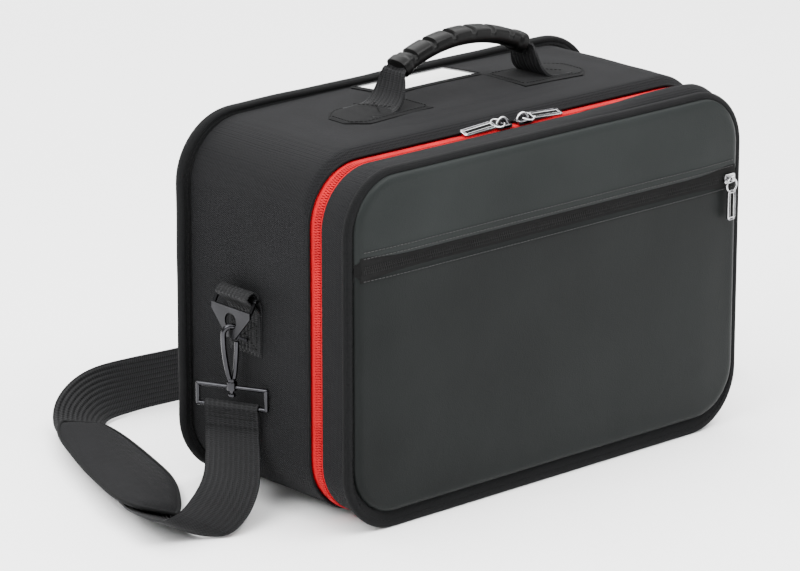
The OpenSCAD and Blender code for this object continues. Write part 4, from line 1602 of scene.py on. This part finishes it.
# Stations of the strap: away from the case's side, Y, Z, yaw and tilt
HANG_START = [(HANG, ANCHOR_Y, END_Z + 2.5, 63, 0), (HANG + 1, ANCHOR_Y - 1, END_Z - 8, 63, 0)]
HANG_LEFT = HANG_START + [
    (25, ANCHOR_Y - 11, 46, 60, 2),
    (38, ANCHOR_Y - 24, 32, 54, 8),
    (58, ANCHOR_Y - 36, 21, 45, 20),
    (82, ANCHOR_Y - 44, 14, 25, 28),
    (100, ANCHOR_Y - 36, 13, 0, 28),
    (98, ANCHOR_Y - 12, 12, 0, 24),
]
HANG_RIGHT = HANG_START + [
    (24, ANCHOR_Y - 9, 46, 60, 2),
    (35, ANCHOR_Y - 19, 31, 52, 8),
    (50, ANCHOR_Y - 27, 18.5, 42, 18),
    (66, ANCHOR_Y - 29, 13.5, 25, 24),
    (76, ANCHOR_Y - 16, 12, 8, 22),
    (77, ANCHOR_Y + 6, 10, 5, 14),
]
FLOOR_LEFT = [
    (84, FRONT_Y + 140, 10, 10, 14),
    (59, FRONT_Y + 190, 8, 16, 9),
    (38, REAR_Y + 48, 7, 18, 9),
]
FLOOR_RIGHT = [
    (70, ANCHOR_Y + 34, 7.5, 10, 5),
    (58, FRONT_Y + 190, 7, 17, 2),
    (38, REAR_Y + 48, 6, 20, 6),
]
RISE = [
    (14, REAR_Y + 112, 7, 20, 9),
    (0, REAR_Y + 143, 9, 24, 14),
    (-13, REAR_Y + 155, 16.5, 45, 38),
    (-35, REAR_Y + 160, 23, 75, 62),
    (-70, REAR_Y + 158, 25, 86, 82),
    (-120, REAR_Y + 154, 25, 88, 88),
]
BEHIND = [(-215, REAR_Y + 150, 25, 90, 90)]


def strap_frames(steps):
    """Frames along the whole strap, from the left hook to the right one."""
    left = [(-SIDE_X - a, y, z, yaw, tilt) for a, y, z, yaw, tilt in HANG_LEFT + FLOOR_LEFT + RISE + BEHIND]
    right = [(SIDE_X + a, y, z, 180 - yaw, tilt) for a, y, z, yaw, tilt in HANG_RIGHT + FLOOR_RIGHT + RISE]
    stations = left + right[::-1]
    places = smooth_points([Vector(s[:3]) for s in stations], steps)
    across = []
    for turn in smooth_points([Vector((*s[3:], 0)) for s in stations], steps):
        yaw, tilt = math.radians(turn.x), math.radians(turn.y)
        flat = math.cos(tilt)
        across.append(Vector((math.cos(yaw) * flat, -math.sin(yaw) * flat, -math.sin(tilt))))
    return frames_along(places, across)


class FLIGHTBAG_OT_strap(bpy.types.Operator):
    """Models the shoulder strap: its webbing, its pad and its buckle"""

    bl_idname = "flightbag.strap"
    bl_label = "Shoulder strap"

    def execute(self, context):
        steps = settings().strap_steps
        frames = strap_frames(steps)
        last = len(frames) - 1
        near, far, buckle = 5 * steps, last - 5 * steps, last - 9 * steps
        for name, first, end, lift, side in (
            ("strap_hang_left", 0, near, 0, "left"),
            ("strap_band", near, far, 0, None),
            ("strap_hang_right", far, last, 0, "right"),
            ("strap_second_layer", buckle, far, 2.6, None),
            ("strap_second_hang", far, last, 2.6, "right"),
        ):
            node = "strap_return" if lift else "strap_webbing"
            body = None if side else "case"
            piece = band(name, frames[first:end + 1], 45.5, 1.7, 44, ribs(0.28), body, node, lift)
            if side:
                low, high = (near, 2) if side == "left" else (far, last - 2)
                tuple(frames[low][0] * MM)
                tuple(frames[high][0] * MM)
                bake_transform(piece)
        finish_node("strap_adjuster", "plastic")
        self.pad(frames[7 * steps + 3:12 * steps - 2])
        return {"FINISHED"}

    def pad(self, run):
        """A stuffed pad that the webbing runs under, with a bound edge."""
        count = len(run) - 1

        def half_width(t):
            return 10 + 24 * math.sin(math.pi * (0.04 + 0.92 * t)) ** 0.6

        def surface(co, rise):
            i, s = round((co.x + 1) / 2 * count), co.y
            point, side, normal = run[i]
            t = i / count
            end = 1 - abs(2 * t - 1)
            full = ease((1 - abs(s) - 0.1) / 0.34) * ease((end - 0.03) / 0.14)
            dimple = 0.3 * ripple(point.x + s * 30, point.y, s * 9, 22, 4.4)
            rim = min(1.0, 12 * min(1 - abs(s), end))
            height = 4.8 + rise * (rim + 3.6 * full**0.7 + dimple * full)
            return point + side * (s * half_width(t)) + normal * height

        halves = []
        for name, rise in (("pad_top", 1), ("pad_bottom", -0.72)):
            half = grid(name, count, 24)
            move_vertices(half, lambda co: surface(co, rise))
            halves.append(half)
        pad = join("pad", halves)
        face_out(pad)
        pinned = []
        for v in pad.data.vertices:
            i = min(range(count + 1), key=lambda k: (run[k][0] - v.co).length)
            point, side, normal = run[i]
            wide = abs((v.co - point).dot(side)) > half_width(i / count) * 0.88
            if wide or not 0.04 < i / count < 0.96 or (v.co - point).dot(normal) < 4.4:
                pinned.append(v.index)
        inflate(pad, pinned, 4.0)
        settle(pad, "case", "pad_cloth", ("shoulder_pad",), 60)

        along = range(count + 1)
        edge = [surface(Vector((2 * i / count - 1, 1, 0)), 0) for i in along]
        edge += [surface(Vector((2 * i / count - 1, -1, 0)), 0) for i in reversed(along)]
        settle(wire("pad_binding", edge, 1.7, cyclic=True, sides=4), "case", "binding", (), 80)


# ---------------------------------------------------------------- inside


class FLIGHTBAG_OT_inside(bpy.types.Operator):
    """Finishes the linings and boards inside"""

    bl_idname = "flightbag.inside"
    bl_label = "Inside"

    def execute(self, context):
        for node in ("rear_board", "case_board", "lid_board", "front_board"):
            finish_node(node, "board")
        for node in ("base_board", "case_lining", "lid_lining", "pocket_lining"):
            finish_node(node, "lining")
        return {"FINISHED"}


# ---------------------------------------------------------------- panel and registration

OPERATORS = (
    FLIGHTBAG_OT_stage,
    FLIGHTBAG_OT_case,
    FLIGHTBAG_OT_zip,
    FLIGHTBAG_OT_lid,
    FLIGHTBAG_OT_front,
    FLIGHTBAG_OT_sliders,
    FLIGHTBAG_OT_handle,
    FLIGHTBAG_OT_label,
    FLIGHTBAG_OT_hooks,
    FLIGHTBAG_OT_strap,
    FLIGHTBAG_OT_inside,
)


class FLIGHTBAG_PT_panel(bpy.types.Panel):
    """Lists the steps that build the bag"""

    bl_idname = "FLIGHTBAG_PT_panel"
    bl_label = "Flight Bag"
    bl_space_type = "VIEW_3D"
    bl_region_type = "UI"
    bl_category = "Flight Bag"

    def draw(self, context):
        for name in FlightBagSettings.__annotations__:
            self.layout.prop(context.scene.flight_bag, name)
        for operator in OPERATORS:
            self.layout.operator(operator.bl_idname)


CLASSES = (FlightBagSettings, *OPERATORS, FLIGHTBAG_PT_panel)


def register():
    for cls in CLASSES:
        bpy.utils.register_class(cls)
    bpy.types.Scene.flight_bag = bpy.props.PointerProperty(type=FlightBagSettings)


def unregister():
    del bpy.types.Scene.flight_bag
    for cls in reversed(CLASSES):
        bpy.utils.unregister_class(cls)


def main():
    register()
    for operator in OPERATORS:
        getattr(bpy.ops.flightbag, operator.bl_idname.split(".")[1])()


if __name__ == "__main__":
    main()
